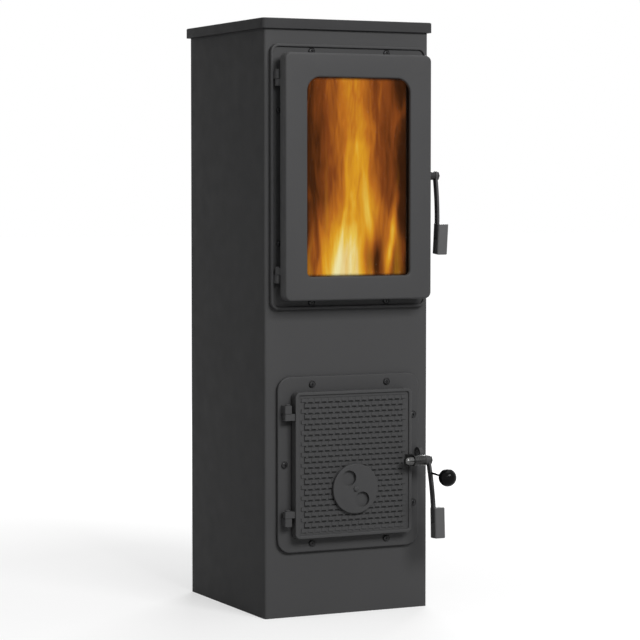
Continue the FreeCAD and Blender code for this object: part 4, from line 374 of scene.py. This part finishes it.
grown("ember_bed", group, bpy.data.meshes.new("ember_start"), "stove", "fire_board",
      Wide=BED_WIDE, Deep=BED_DEEP, Small=EMBER_SMALL, Large=EMBER_LARGE, Count=EMBER_COUNT, Seed=EMBER_SEED)

# Split logs lie crosswise on the charcoal, burnt black outside and glowing where the bark has cracked.
# Each follows a straight axis, its round section pushed in and out like weathered wood.
LOG_RADIUS = 0.022
LOG_UNEVENNESS = 0.016
LOG_STATIONS, LOG_ROUND = 40, 28
KNOTS_PER_METRE = 38.0
LOG_LIFT = 0.034
LOG_ENDS = [
    # both ends of each axis: across, towards the back, above the lowest axes
    ((-0.1, -0.03, 0.0), (0.09, -0.01, 0.0)),
    ((-0.08, 0.055, 0.0), (0.105, 0.035, 0.004)),
    ((-0.045, -0.035, 0.042), (0.06, 0.062, 0.046)),
]


def lines(name, *runs):
    """A mesh of open lines."""
    mesh = bpy.data.meshes.new(name)
    points = [point for run in runs for point in run]
    edges = []
    first = 0
    for run in runs:
        edges += [(first + i, first + i + 1) for i in range(len(run) - 1)]
        first += len(run)
    mesh.from_pydata(points, edges, [])
    return mesh


def resampled(group, curve, count):
    """A curve with so many points, evenly spaced."""
    return add(group, "GeometryNodeResampleCurve", [("Curve", curve), ("Count", count)]).outputs[0]


def paths(group, mesh, count):
    """The lines of a mesh as curves with so many points each."""
    return resampled(group, add(group, "GeometryNodeMeshToCurve", [("Mesh", mesh)]).outputs[0], count)


def circle(group, count, radius):
    """A round section with so many points."""
    links = [("Resolution", count), ("Radius", radius)]
    return add(group, "GeometryNodeCurvePrimitiveCircle", links).outputs[0]


def swept(group, path, section, *more):
    """A section carried along a path."""
    links = [("Curve", path), ("Profile Curve", section), *more]
    return add(group, "GeometryNodeCurveToMesh", links).outputs[0]


log_char, tree, surface = shader("burning_log")
fibre = grain(tree, 26, 6, 0.65, (0.6, 6, 6))
glow = between(tree, grain(tree, 48, 4, 0.6, (0.8, 2, 2)), 0, 1, 0.52, 0.72)
plug(tree, surface, [
    ("Base Color", tinted(tree, between(tree, fibre, 0, 1), (0.008, 0.007, 0.006), (0.075, 0.05, 0.035))),
    ("Emission Color", tinted(tree, glow, (0.0, 0.0, 0.0), (0.95, 0.2, 0.015))),
    ("Emission Strength", 1.0),
    ("Roughness", 0.95),
])
raised(tree, surface, fibre, 0.8, 0.002)

group, sizes, end = grower("logs", Radius=1.0, Unevenness=1.0)
section = circle(group, LOG_ROUND, sizes["Radius"])
rods = swept(group, paths(group, sizes["Geometry"], LOG_STATIONS), section, ("Fill Caps", True))
spot = add(group, "GeometryNodeInputPosition").outputs[0]
drawn = vectors(group, "MULTIPLY", spot, (0.25, 1, 1))
knots = add(group, "ShaderNodeTexNoise", [
    ("Vector", drawn), ("Scale", KNOTS_PER_METRE), ("Detail", 3.0)]).outputs["Fac"]
swing = times(group, minus(group, knots, 0.5), sizes["Unevenness"])
normal = add(group, "GeometryNodeInputNormal").outputs[0]
ended(group, end, moved(group, rods, vectors(group, "SCALE", normal, swing)), log_char)
axes_mesh = lines("log_axes", *[[(x, y, grate_top + LOG_LIFT + z) for x, y, z in ends] for ends in LOG_ENDS])
grown("burning_logs", group, axes_mesh, "stove", "fire_board", Radius=LOG_RADIUS, Unevenness=LOG_UNEVENNESS)

# The flames are one broad glowing veil close behind the window, bowed forward at its sides.
# Its colour runs from smoky brown through orange and yellow to cream, in upright streaks, hottest low down.
FLAME_COLOURS = [
    # heat, colour
    (0.00, (0.010, 0.004, 0.002)),
    (0.24, (0.060, 0.018, 0.005)),
    (0.42, (0.245, 0.062, 0.012)),
    (0.58, (0.530, 0.165, 0.017)),
    (0.74, (0.770, 0.360, 0.021)),
    (0.87, (0.880, 0.600, 0.090)),
    (1.00, (0.940, 0.850, 0.430)),
]
window_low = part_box("fire_glass")[0][2]
window_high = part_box("fire_glass")[1][2]
VEIL_LIFT = 0.012
VEIL_BELOW_LID = 0.035
VEIL_BEHIND = 0.019
veil_low = grate_top + VEIL_LIFT
veil_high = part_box("top_plate")[0][2] - VEIL_BELOW_LID
veil_place = brick_front + VEIL_BEHIND
VEIL_SIDE_GAP = 0.002
VEIL_WAVE = 0.03
VEIL_BOW = 0.012
VEIL_SEED = 3.0
VEIL_COLUMNS, VEIL_ROWS = 64, 96
ROLLS_PER_METRE = 26.0


def bell(tree, value, middle, reach):
    """A smooth hump of height 1 about a middle value."""
    away = over(tree, minus(tree, value, middle), reach)
    return chain(tree, "POWER", math.exp(-1), times(tree, away, away))


def flame_colour(tree, heat):
    """The flame's colours along its heat."""
    ramp = add(tree, "ShaderNodeValToRGB", [("Fac", heat)])
    stops = ramp.color_ramp.elements
    for position, colour in FLAME_COLOURS[1:-1]:
        stops.new(position).color = (*colour, 1)
    stops[0].color = (*FLAME_COLOURS[0][1], 1)
    stops[-1].color = (*FLAME_COLOURS[-1][1], 1)
    return ramp.outputs["Color"]


def flame(name):
    """A material that only glows, its tree and its shader."""
    material, tree, surface = shader(name)
    plug(tree, surface, [
        ("Base Color", (0, 0, 0, 1)),
        ("Specular IOR Level", 0.0),
        ("Roughness", 1.0),
        ("Emission Strength", 1.0),
    ])
    return material, tree, surface


def veil_heat(tree):
    """How hot the veil is; places across are in metres, places up in shares of the window's height."""
    place = own_axes(tree)
    up = between(tree, place["Z"], 0, 1, window_low, window_high)
    sway = times(tree, minus(tree, grain(tree, 5, 2, 0.5, (1, 1, 0.7)), 0.5), 0.05)
    across = plus(tree, place["X"], sway)
    leaning = minus(tree, across, times(tree, up, 0.03))
    slanting = plus(tree, across, times(tree, up, 0.204))
    core = times(tree, bell(tree, across, 0.022, 0.036), between(tree, up, 1.0, 0.72, 0.3, 1))
    low_glow = times(tree, bell(tree, across, -0.002, 0.05), bell(tree, up, 0.0, 0.24))
    tongue = times(tree, bell(tree, leaning, 0.094, 0.007), bell(tree, up, 0.2, 0.26))
    dark_wedge = times(tree, bell(tree, across, 0.066, 0.016), bell(tree, up, 0.09, 0.1))
    skirt = times(tree, between(tree, slanting, 1, 0, 0.152, 0.178), bell(tree, up, 0.3, 0.22),
                  between(tree, across, 0, 1, 0.01, 0.05))
    streaks = minus(tree, grain(tree, 22, 3, 0.5, (1.6, 1, 0.3), 1.1), 0.5)
    threads = minus(tree, grain(tree, 70, 2, 0.5, (1.4, 1, 0.2), 0.9), 0.5)
    right_edge = bell(tree, across, 0.13, 0.036)
    left_edge = bell(tree, across, -0.075, 0.034)
    shares = [
        # part of the flame, heat it adds
        (core, 0.28),
        (low_glow, 0.28),
        (tongue, 0.36),
        (dark_wedge, -0.34),
        (skirt, 0.17),
        (streaks, 0.5),
        (threads, 0.2),
        (right_edge, -0.24),
        (left_edge, -0.26),
    ]
    all_over = between(tree, up, 0.44, 0.42, 0, 1)
    return plus(tree, all_over, *[times(tree, part, heat) for part, heat in shares])


veil_glow, tree, surface = flame("flame_veil")
plug(tree, surface, [("Emission Color", flame_colour(tree, veil_heat(tree)))])

group, sizes, end = grower("flame_veil", Wide=1.0, Tall=1.0, Wave=1.0, Bow=1.0, Seed=1.0)
flat = add(group, "GeometryNodeMeshGrid", [
    ("Size X", sizes["Wide"]), ("Size Y", sizes["Tall"]), ("Vertices X", VEIL_COLUMNS),
    ("Vertices Y", VEIL_ROWS)]).outputs["Mesh"]
spot = add(group, "GeometryNodeInputPosition").outputs[0]
drawn = vectors(group, "MULTIPLY", spot, (1, 0.22, 1))
roll = add(group, "ShaderNodeTexNoise", [
    ("Vector", drawn), ("W", sizes["Seed"]), ("Scale", ROLLS_PER_METRE), ("Detail", 2.0)],
    noise_dimensions="4D").outputs["Fac"]
wave = times(group, minus(group, roll, 0.5), sizes["Wave"])
side = add(group, "ShaderNodeSeparateXYZ", [("Vector", spot)]).outputs["X"]
side = over(group, side, times(group, sizes["Wide"], 0.5))
bow = times(group, side, side, side, side, sizes["Bow"])
push = add(group, "ShaderNodeCombineXYZ", [("Z", plus(group, wave, bow))]).outputs[0]
stood = add(group, "GeometryNodeTransform", [
    ("Geometry", moved(group, flat, push)), ("Rotation", (math.pi / 2, 0, 0)),
    ("Translation", (0, veil_place, (veil_low + veil_high) / 2))]).outputs[0]
ended(group, end, stood, veil_glow)
grown("flame_veil", group, bpy.data.meshes.new("veil_start"), "stove", "fire_board",
      Wide=brick_right - brick_left - 2 * VEIL_SIDE_GAP, Tall=veil_high - veil_low,
      Wave=VEIL_WAVE, Bow=VEIL_BOW, Seed=VEIL_SEED)

# Separate tongues lick up in front of the veil, thin bright ribbons that narrow and fade as they rise.
# Each follows its own swaying line, brightest along its middle.
TONGUES = [
    # across, in front of the veil, height
    (-0.062, 0.012, 0.16),
    (-0.030, 0.017, 0.30),
    (0.004, 0.013, 0.24),
    (0.030, 0.018, 0.36),
    (0.052, 0.012, 0.20),
    (0.078, 0.016, 0.15),
    (0.102, 0.013, 0.25),
]
TONGUE_WIDE = 0.045
TONGUE_NARROWING = 0.8
TONGUE_LEAN = 0.01
TONGUE_SWAY = 0.09
TONGUE_SEED = 11.0
TONGUE_STATIONS, TONGUE_COLUMNS = 48, 9
SWAYS_PER_METRE = 14.0
TONGUE_ALPHA = 0.55
TONGUE_LIFT = 0.02
tongue_foot = veil_low + TONGUE_LIFT


def marked(group, curve, name, value):
    """A curve whose points keep a value under a name."""
    links = [("Geometry", curve), ("Name", name), ("Value", value)]
    return add(group, "GeometryNodeStoreNamedAttribute", links, data_type="FLOAT", domain="POINT").outputs[0]


tongue_glow, tree, surface = flame("flame_tongue")
along = add(tree, "ShaderNodeAttribute", attribute_name="along").outputs["Fac"]
aside = add(tree, "ShaderNodeAttribute", attribute_name="aside").outputs["Fac"]
middle = bell(tree, aside, 0.5, 0.24)
fade = times(tree, between(tree, along, 0, 1, 0, 0.18), between(tree, along, 1, 0, 0.25, 1))
licks = between(tree, grain(tree, 55, 3, 0.55, (1.5, 1, 0.22)), 0.25, 1)
heat = plus(tree, between(tree, along, 0.66, 0.48, 0, 1), times(tree, middle, 0.12))
plug(tree, surface, [
    ("Emission Color", flame_colour(tree, heat)),
    ("Alpha", times(tree, middle, fade, licks, TONGUE_ALPHA)),
])

group, sizes, end = grower("flame_tongues", Wide=1.0, Sway=1.0, Seed=1.0)
along = add(group, "GeometryNodeSplineParameter").outputs["Factor"]
rises = marked(group, paths(group, sizes["Geometry"], TONGUE_STATIONS), "along", along)
spot = add(group, "GeometryNodeInputPosition").outputs[0]
drawn = vectors(group, "MULTIPLY", spot, (1, 1, 0.5))
drift = add(group, "ShaderNodeTexNoise", [
    ("Vector", drawn), ("W", sizes["Seed"]), ("Scale", SWAYS_PER_METRE)],
    noise_dimensions="4D").outputs["Fac"]
lean = times(group, minus(group, drift, 0.5), sizes["Sway"], along)
swayed = moved(group, rises, add(group, "ShaderNodeCombineXYZ", [("X", lean)]).outputs[0])
strip = add(group, "GeometryNodeCurvePrimitiveLine", [
    ("Start", (0, -0.5, 0)), ("End", (0, 0.5, 0))]).outputs[0]
aside = add(group, "GeometryNodeSplineParameter").outputs["Factor"]
strip = marked(group, resampled(group, strip, TONGUE_COLUMNS), "aside", aside)
taper = times(group, sizes["Wide"], minus(group, 1.0, times(group, along, TONGUE_NARROWING)))
ended(group, end, swept(group, swayed, strip, ("Scale", taper)), tongue_glow)
rises_mesh = lines("tongue_lines", *[
    [(x, veil_place - out, tongue_foot), (x + TONGUE_LEAN, veil_place - out, tongue_foot + tall)]
    for x, out, tall in TONGUES])
grown("flame_tongues", group, rises_mesh, "stove", "fire_board",
      Wide=TONGUE_WIDE, Sway=TONGUE_SWAY, Seed=TONGUE_SEED)

# The ash pan is folded from thin zinc-coated sheet, dulled by hot ash, with a bent rod handle.
# It slides on the ash shelf.
dull_zinc, tree, surface = shader("dull_zinc_sheet")
spangle = flakes(tree, 95, "Green")
plug(tree, surface, [
    ("Base Color", tinted(tree, spangle, (0.13, 0.13, 0.135), (0.2, 0.2, 0.205))),
    ("Roughness", between(tree, spangle, 0.42, 0.62, 0, 1)),
    ("Metallic", 0.8),
])
raised(tree, surface, grain(tree, 160, 3), 0.2, 0.0003)
for node in ("ash_pan", "ash_pan_handle"):
    finished(node, dull_zinc)

# Flat fibre gaskets sit between the casing and both door frames, and under the glass.
# They are black woven tape, cut to the frame.
WEAVE_SCALE = 330.0
woven_tape, tree, surface = shader("woven_fibre_tape")
warp, weft = [
    add(tree, "ShaderNodeTexWave", [("Vector", own_place(tree)), ("Scale", WEAVE_SCALE)],
        bands_direction=direction).outputs["Fac"]
    for direction in ("X", "Z")]
weave = times(tree, warp, weft)
plug(tree, surface, [
    ("Base Color", tinted(tree, weave, (0.005, 0.005, 0.005), (0.02, 0.02, 0.019))),
    ("Roughness", 0.95),
    ("Specular IOR Level", 0.1),
])
raised(tree, surface, weave, 0.6, 0.0003)
for node in ("fire_frame_gasket", "ash_frame_gasket", "glass_seal"):
    finished(node, woven_tape)

# Both door frames are flat castings with hinge lugs, sprayed in the same grey over a sand-cast skin.
# The keepers that the latches pull against are cast too.
CAST_EDGE = 0.0006
cast_paint = stove_paint("satin_cast_paint", (0.049, 0.059), (0.40, 0.52), 420, 0.0004, 0.1)
for node in ("fire_frame", "ash_frame", "fire_keeper", "ash_keeper"):
    finished(node, cast_paint, CAST_EDGE)

# Button-head screws hold the frames and the glass clips, and headed pins the hinges.
# Screws and clips have a black oxide skin of uneven tone, and the pins are sprayed with the frames.
black_oxide, tree, surface = shader("black_oxide_steel")
plug(tree, surface, [
    ("Base Color", tinted(tree, grain(tree, 90, 3), (0.008, 0.008, 0.009), (0.022, 0.022, 0.023))),
    ("Roughness", between(tree, grain(tree, 200, 3), 0.22, 0.36)),
    ("Specular IOR Level", 0.22),
])
raised(tree, surface, grain(tree, 800, 2), 0.2, 0.0001)
for node in ("fire_frame_screws", "ash_frame_screws", "glass_clips", "glass_clip_screws"):
    finished(node, black_oxide)
for node in ("fire_hinge_pins", "ash_hinge_pins"):
    finished(node, cast_paint)

# The fire door is a hollow casting round the window, its front edge and window edge cast round.
# It is sprayed with the frame.
finished("fire_door", cast_paint, CAST_EDGE)

# The glass is a clear ceramic pane, clamped from behind by clips and faintly smoked by the fire.
# Its dark film thickens towards the edges, as soot and as painted shade from the seal and the door's edge.
HIDDEN_RIM = 0.0065
SOOT_AND_SHADE_REACH = 0.006
CLEAR_FILM, SOOT_AND_SHADE_FILM = 0.05, 0.8
glass_low, glass_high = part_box("fire_glass")


def single(tree, operation, value):
    """One operation on one value."""
    return add(tree, "ShaderNodeMath", [(0, value)], operation=operation).outputs[0]


pane, tree, surface = shader("ceramic_pane")
place = own_axes(tree)
# Soot and painted shade: the pane turns dark and less clear in a band just inside its hidden rim.
soot_and_shade = []
for axis, start, stop in (("X", glass_low[0], glass_high[0]), ("Z", glass_low[2], glass_high[2])):
    away = single(tree, "ABSOLUTE", minus(tree, place[axis], (start + stop) / 2))
    rim = (stop - start) / 2 - HIDDEN_RIM
    share = between(tree, away, 0, 1, rim - SOOT_AND_SHADE_REACH, rim)
    soot_and_shade.append(times(tree, share, share))
plug(tree, surface, [
    ("Base Color", (0.006, 0.004, 0.003, 1)),
    ("Roughness", between(tree, grain(tree, 9, 3), 0.03, 0.12)),
    ("Specular IOR Level", 0.12),
    ("Alpha", between(tree, capped(tree, *soot_and_shade), CLEAR_FILM, SOOT_AND_SHADE_FILM, 0, 1)),
])
finished("fire_glass", pane)

# Rope seals lie in the backs of both doors: black glass-fibre yarn braided over a soft core.
# Half the yarns wind one way and half the other, passing over and under each other.
ROPE_WIDE = 0.0076
ROPES = [
    # node, corner radius, turns of a yarn round the loop
    ("fire_door_rope", 0.012, 44),
    ("ash_door_rope", 0.008, 31),
]
YARNS = 12
YARN_RADIUS = 0.0011
YARN_LIFT = 0.0004
YARN_ROUND, CORE_ROUND = 6, 10
POINTS_PER_TURN = 12
CORNER_POINTS = 8
BACKWARDS = (0, 1, 0)
inset = YARN_RADIUS + YARN_LIFT

yarn, tree, surface = shader("black_glass_yarn")
hairs = grain(tree, 1500, 2, 0.6)
plug(tree, surface, [
    ("Base Color", tinted(tree, hairs, (0.008, 0.008, 0.008), (0.035, 0.034, 0.033))),
    ("Roughness", 0.9),
    ("Specular IOR Level", 0.15),
])
raised(tree, surface, hairs, 0.5, 0.0002)

group, sizes, end = grower(
    "braided_rope", Wide=1.0, Tall=1.0, Corner=1.0, Half_wide=1.0, Half_deep=1.0, Middle_y=1.0, Middle_z=1.0,
    Yarns=1, Turns=1, Points=1)
square = add(group, "GeometryNodeCurvePrimitiveQuadrilateral", [
    ("Width", sizes["Wide"]), ("Height", sizes["Tall"])]).outputs[0]
rounded = add(group, "GeometryNodeFilletCurve", [
    ("Curve", square), ("Count", CORNER_POINTS), ("Radius", sizes["Corner"])], mode="POLY").outputs[0]
seat = add(group, "ShaderNodeCombineXYZ", [("Y", sizes["Middle_y"]), ("Z", sizes["Middle_z"])]).outputs[0]
loop = add(group, "GeometryNodeTransform", [
    ("Geometry", resampled(group, rounded, sizes["Points"])), ("Translation", seat),
    ("Rotation", (math.pi / 2, 0, 0))]).outputs[0]
copies = add(group, "GeometryNodeDuplicateElements", [
    ("Geometry", loop), ("Amount", sizes["Yarns"])], domain="SPLINE").outputs
index = copies["Duplicate Index"]
way = minus(group, 1.0, times(group, chain(group, "MODULO", index, 2.0), 2.0))
along = add(group, "GeometryNodeSplineParameter").outputs["Factor"]
wound = times(group, along, sizes["Turns"], math.tau)
phase = times(group, over(group, index, sizes["Yarns"]), math.tau)
angle = plus(group, phase, times(group, way, wound))
crossing = single(group, "COSINE", times(group, wound, sizes["Yarns"], 0.5))
lift = times(group, way, crossing, YARN_LIFT)
tangent = add(group, "GeometryNodeInputTangent").outputs[0]
outward = vectors(group, "CROSS_PRODUCT", tangent, BACKWARDS)
shares = []
for half, turned, direction in (("Half_wide", "COSINE", outward), ("Half_deep", "SINE", BACKWARDS)):
    reach = plus(group, minus(group, sizes[half], inset), lift)
    shares.append(vectors(group, "SCALE", direction, times(group, reach, single(group, turned, angle))))
braid = moved(group, copies["Geometry"], vectors(group, "ADD", *shares))
yarns = swept(group, braid, circle(group, YARN_ROUND, YARN_RADIUS))
core = swept(group, loop, circle(group, CORE_ROUND, minus(group, sizes["Half_deep"], 2 * inset)))
rope = add(group, "GeometryNodeJoinGeometry", [("Geometry", yarns), ("Geometry", core)]).outputs[0]
ended(group, end, rope, yarn)
for node, corner, turns in ROPES:
    low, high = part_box(node)
    piece = grown(
        node + "_braid", group, bpy.data.meshes.new(node + "_start"), CARRIER[node], FINISH[node],
        Wide=high[0] - low[0] - ROPE_WIDE, Tall=high[2] - low[2] - ROPE_WIDE, Corner=corner,
        Half_wide=ROPE_WIDE / 2, Half_deep=(high[1] - low[1]) / 2, Middle_y=(low[1] + high[1]) / 2,
        Middle_z=(low[2] + high[2]) / 2, Yarns=YARNS, Turns=turns, Points=POINTS_PER_TURN * turns)
    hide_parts(node)

# The latches are flat bowed levers with square grips in grey paint, turning in bushes in the doors' sides.
# The fire latch's bush, shaft and nut are dull and dark, with the black skin of the screws.
LEVER_EDGE = 0.0005
GRIP_EDGE = 0.0004
TURNED_EDGE = 0.0003
lever_paint = stove_paint("satin_lever_paint", (0.052, 0.066), (0.38, 0.48), 700, 0.0002, 0.12)
for node in ("fire_latch_lever", "ash_latch_lever", "fire_latch_tongue", "ash_latch_claw"):
    finished(node, lever_paint, LEVER_EDGE)
grip_paint = stove_paint("worn_grip_paint", (0.082, 0.105), (0.34, 0.46), 500, 0.0002, 0.12)
for node in ("fire_latch_grip", "ash_latch_grip"):
    finished(node, grip_paint, GRIP_EDGE)
for node in ("fire_latch_bush", "fire_latch_shaft", "fire_latch_nut"):
    finished(node, black_oxide, TURNED_EDGE)

# The ash door is a patterned casting: rows of raised pads on a low field, with a plain seat for the rosette.
# Its grey paint is darker in the low field between the pads, as painted shade under and between the pads.
DOOR_EDGE = 0.0003
FIELD_FACE = -0.183
FIELD_REACH = 0.00045
SHADED_HALF_WIDE = 0.0925
SHADED_HALF_TALL = 0.1125
SHADE_FADE = 0.001
SHADE_SHARE = 0.85
door_low, door_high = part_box("ash_door")
door_middle = (door_low[2] + door_high[2]) / 2
door_paint = stove_paint("waffle_paint_painted_shade", (0.051, 0.061), (0.40, 0.52), 420, 0.0004, 0.1)
tree = door_paint.node_tree
surface = tree.nodes["Principled BSDF"]
plain = surface.inputs["Base Color"].links[0].from_socket
place = own_axes(tree)
# Painted shade: the base colour turns nearly black at the low field's face, inside the patterned area.
field_shade = times(tree, bell(tree, place["Y"], FIELD_FACE, FIELD_REACH), SHADE_SHARE)
for axis, centre, half in (("X", 0.0, SHADED_HALF_WIDE), ("Z", door_middle, SHADED_HALF_TALL)):
    away = single(tree, "ABSOLUTE", minus(tree, place[axis], centre))
    field_shade = times(tree, field_shade, between(tree, away, 1, 0, half - SHADE_FADE, half + SHADE_FADE))
plug(tree, surface, [("Base Color", tinted(tree, field_shade, plain, (0.008, 0.008, 0.008)))])
finished("ash_door", door_paint, DOOR_EDGE)

# Low webs join the pads of each row, cast in one with the ash door.
# They reach down across the gap to the next row and leave out the rosette's seat.
PAD_WIDE, PAD_TALL = 0.0094, 0.0068
PAD_PITCH, PAD_ROW = 0.0125, 0.0091
PAD_ROWS = 25
PADS_ACROSS = 16
SEAT_RADIUS = 0.041
WEB_WIDE = 0.0038
WEB_RISE = 0.00095
WEB_DROP = (PAD_ROW - PAD_TALL) / 2
WEB_TALL = PAD_ROW - 0.0006
disc_low, disc_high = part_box("air_rosette")
disc_middle = (disc_low[2] + disc_high[2]) / 2


def clear_of_seat(x, z):
    """Whether a pad there is cast, or falls under the rosette's seat."""
    return math.hypot(abs(x) + PAD_WIDE / 2, abs(z - disc_middle) + PAD_TALL / 2) > SEAT_RADIUS


web_spots = []
for j in range(PAD_ROWS):
    z = door_middle + (j - (PAD_ROWS - 1) / 2) * PAD_ROW
    pads = PADS_ACROSS - j % 2
    row = [(i - (pads - 1) / 2) * PAD_PITCH for i in range(pads)]
    for left, right in zip(row, row[1:]):
        if clear_of_seat(left, z) and clear_of_seat(right, z):
            web_spots.append(((left + right) / 2, FIELD_FACE - WEB_RISE / 2, z - WEB_DROP))
spots_mesh = bpy.data.meshes.new("web_spots")
spots_mesh.from_pydata(web_spots, [], [])
group, sizes, end = grower("waffle_webs", Wide=1.0, Deep=1.0, Tall=1.0)
spots = add(group, "GeometryNodeMeshToPoints", [("Mesh", sizes["Geometry"])]).outputs[0]
block_size = add(group, "ShaderNodeCombineXYZ", [
    ("X", sizes["Wide"]), ("Y", sizes["Deep"]), ("Z", sizes["Tall"])]).outputs[0]
block = add(group, "GeometryNodeMeshCube", [("Size", block_size)]).outputs["Mesh"]
webs = add(group, "GeometryNodeInstanceOnPoints", [("Points", spots), ("Instance", block)]).outputs[0]
ended(group, end, webs, cast_paint, smooth=False)
grown("waffle_webs", group, spots_mesh, CARRIER["ash_door"], FINISH["ash_door"],
      Wide=WEB_WIDE, Deep=WEB_RISE, Tall=WEB_TALL)

# The air rosette is a cast disc with two air holes that turns on one bolt in front of the door's ports.
# All are sprayed together, so the bolt's head is as grey as the disc.
for node in ("air_rosette", "rosette_bolt", "rosette_nut"):
    finished(node, cast_paint)

# The ash latch turns on a bolt with a bright domed cap, in a barrel welded to a foot on the door.
# Barrel and cap are bare turned steel, the barrel darkened by heat.


def turned_steel(name, dark, light, roughness, metallic):
    """Bare steel with the fine rings of a lathe."""
    material, tree, surface = shader(name)
    rings = grain(tree, 260, 3, 0.6, (6, 0.3, 0.3))
    plug(tree, surface, [
        ("Base Color", tinted(tree, rings, dark, light)),
        ("Roughness", between(tree, rings, *roughness)),
        ("Metallic", metallic),
    ])
    return material


bright_steel = turned_steel("turned_steel", (0.07, 0.07, 0.07), (0.13, 0.13, 0.128), (0.16, 0.26), 1.0)
for node in ("ash_latch_bolt", "ball_rod"):
    finished(node, bright_steel, TURNED_EDGE)
heated_steel = turned_steel(
    "heat_darkened_steel", (0.022, 0.022, 0.023), (0.05, 0.05, 0.049), (0.2, 0.32), 0.85)
for node in ("ash_latch_bearing", "ash_latch_nut"):
    finished(node, heated_steel, TURNED_EDGE)

# The ball knob is moulded from black phenolic and polished.
# It screws onto a thin rod that stands out of the lever.
phenolic, tree, surface = shader("polished_black_phenolic")
plug(tree, surface, [
    ("Base Color", tinted(tree, grain(tree, 30, 3), (0.0025, 0.0025, 0.0025), (0.005, 0.005, 0.005))),
    ("Roughness", between(tree, grain(tree, 120, 4), 0.05, 0.1)),
    ("Specular IOR Level", 0.07),
])
finished("ball_knob", phenolic)

# The photograph was taken from the front left, a little below the lid, with a long lens.
# The camera looks slightly down and is not shifted.
CAMERA_PLACE = (-1.8124, -3.8011, 0.7172)
CAMERA_TILT = math.radians(90 - 3.095)
CAMERA_TURN = math.radians(-25.804)
camera = bpy.data.objects.new("camera", bpy.data.cameras.new("camera"))
camera.data.sensor_width = 36
camera.data.lens = 135.932
camera.location = CAMERA_PLACE
camera.rotation_euler = (CAMERA_TILT, 0, CAMERA_TURN)
bpy.context.scene.collection.objects.link(camera)
bpy.context.scene.camera = camera

# The floor is a plain pale sheet that runs out to white.
# It adds its own white where the camera or a reflection sees it, and keeps the stove's shadow.
FLOOR_HALF = 30
FLOOR_GLOW = 0.54, 0.97
GLOW_REACH = 0.7, 3.2


def seen(tree):
    """1 where the camera sees a surface, straight, mirrored or through glass, and otherwise 0."""
    path = add(tree, "ShaderNodeLightPath").outputs
    rays = [path[f"Is {kind} Ray"] for kind in ("Camera", "Glossy", "Transmission")]
    return chain(tree, "MAXIMUM", *rays)


floor_mesh = bpy.data.meshes.new("floor")
corners = [(x * FLOOR_HALF, y * FLOOR_HALF, 0) for x, y in ((-1, -1), (1, -1), (1, 1), (-1, 1))]
floor_mesh.from_pydata(corners, [], [(0, 1, 2, 3)])
floor = bpy.data.objects.new("floor", floor_mesh)
bpy.context.scene.collection.objects.link(floor)
pale, tree, surface = shader("pale_floor")
far = add(tree, "ShaderNodeVectorMath", [(0, own_place(tree))], operation="LENGTH").outputs["Value"]
plug(tree, surface, [
    ("Base Color", (0.42, 0.42, 0.42, 1)),
    ("Roughness", 0.9),
    ("Specular IOR Level", 0.0),
    ("Emission Color", (1, 1, 1, 1)),
    ("Emission Strength", times(tree, seen(tree), between(tree, far, *FLOOR_GLOW, *GLOW_REACH))),
])
floor_mesh.materials.append(pale)

# The light is a large soft lamp high in front, with weaker ones left, above and behind.
# The surround is white to the eye and gives a little light from all sides.
LAMPS = [
    # name, place, point aimed at, width and height, watts
    ("front_lamp", (0.3, -2.9, 2.15), (0, 0, 0.6), (1.6, 1.0), 90),
    ("left_lamp", (-1.5, -2.8, 1.7), (0, 0, 0.5), (0.2, 0.3), 6),
    ("top_lamp", (0.2, -0.4, 3.2), (0, 0, 0.5), (2.0, 2.0), 26),
    ("back_lamp", (1.6, 2.5, 2.0), (0, 0, 0.5), (1.5, 1.2), 70),
]
SURROUND_LIGHT, SURROUND_SEEN = 0.18, 1.0
for name, place, aim, size, watts in LAMPS:
    lamp = bpy.data.lights.new(name, "AREA")
    lamp.shape = "RECTANGLE"
    lamp.size, lamp.size_y = size
    lamp.energy = watts
    holder = bpy.data.objects.new(name, lamp)
    holder.location = place
    dx, dy, dz = [a - p for a, p in zip(aim, place)]
    holder.rotation_euler = (math.pi / 2 + math.atan2(dz, math.hypot(dx, dy)), 0, -math.atan2(dx, dy))
    bpy.context.scene.collection.objects.link(holder)

world = bpy.data.worlds.new("surround")
bpy.context.scene.world = world
world.use_nodes = True
tree = world.node_tree
plug(tree, tree.nodes["Background"], [
    ("Color", (1, 1, 1, 1)),
    ("Strength", between(tree, seen(tree), SURROUND_LIGHT, SURROUND_SEEN, 0, 1)),
])

bpy.context.scene.view_settings.view_transform = "Standard"
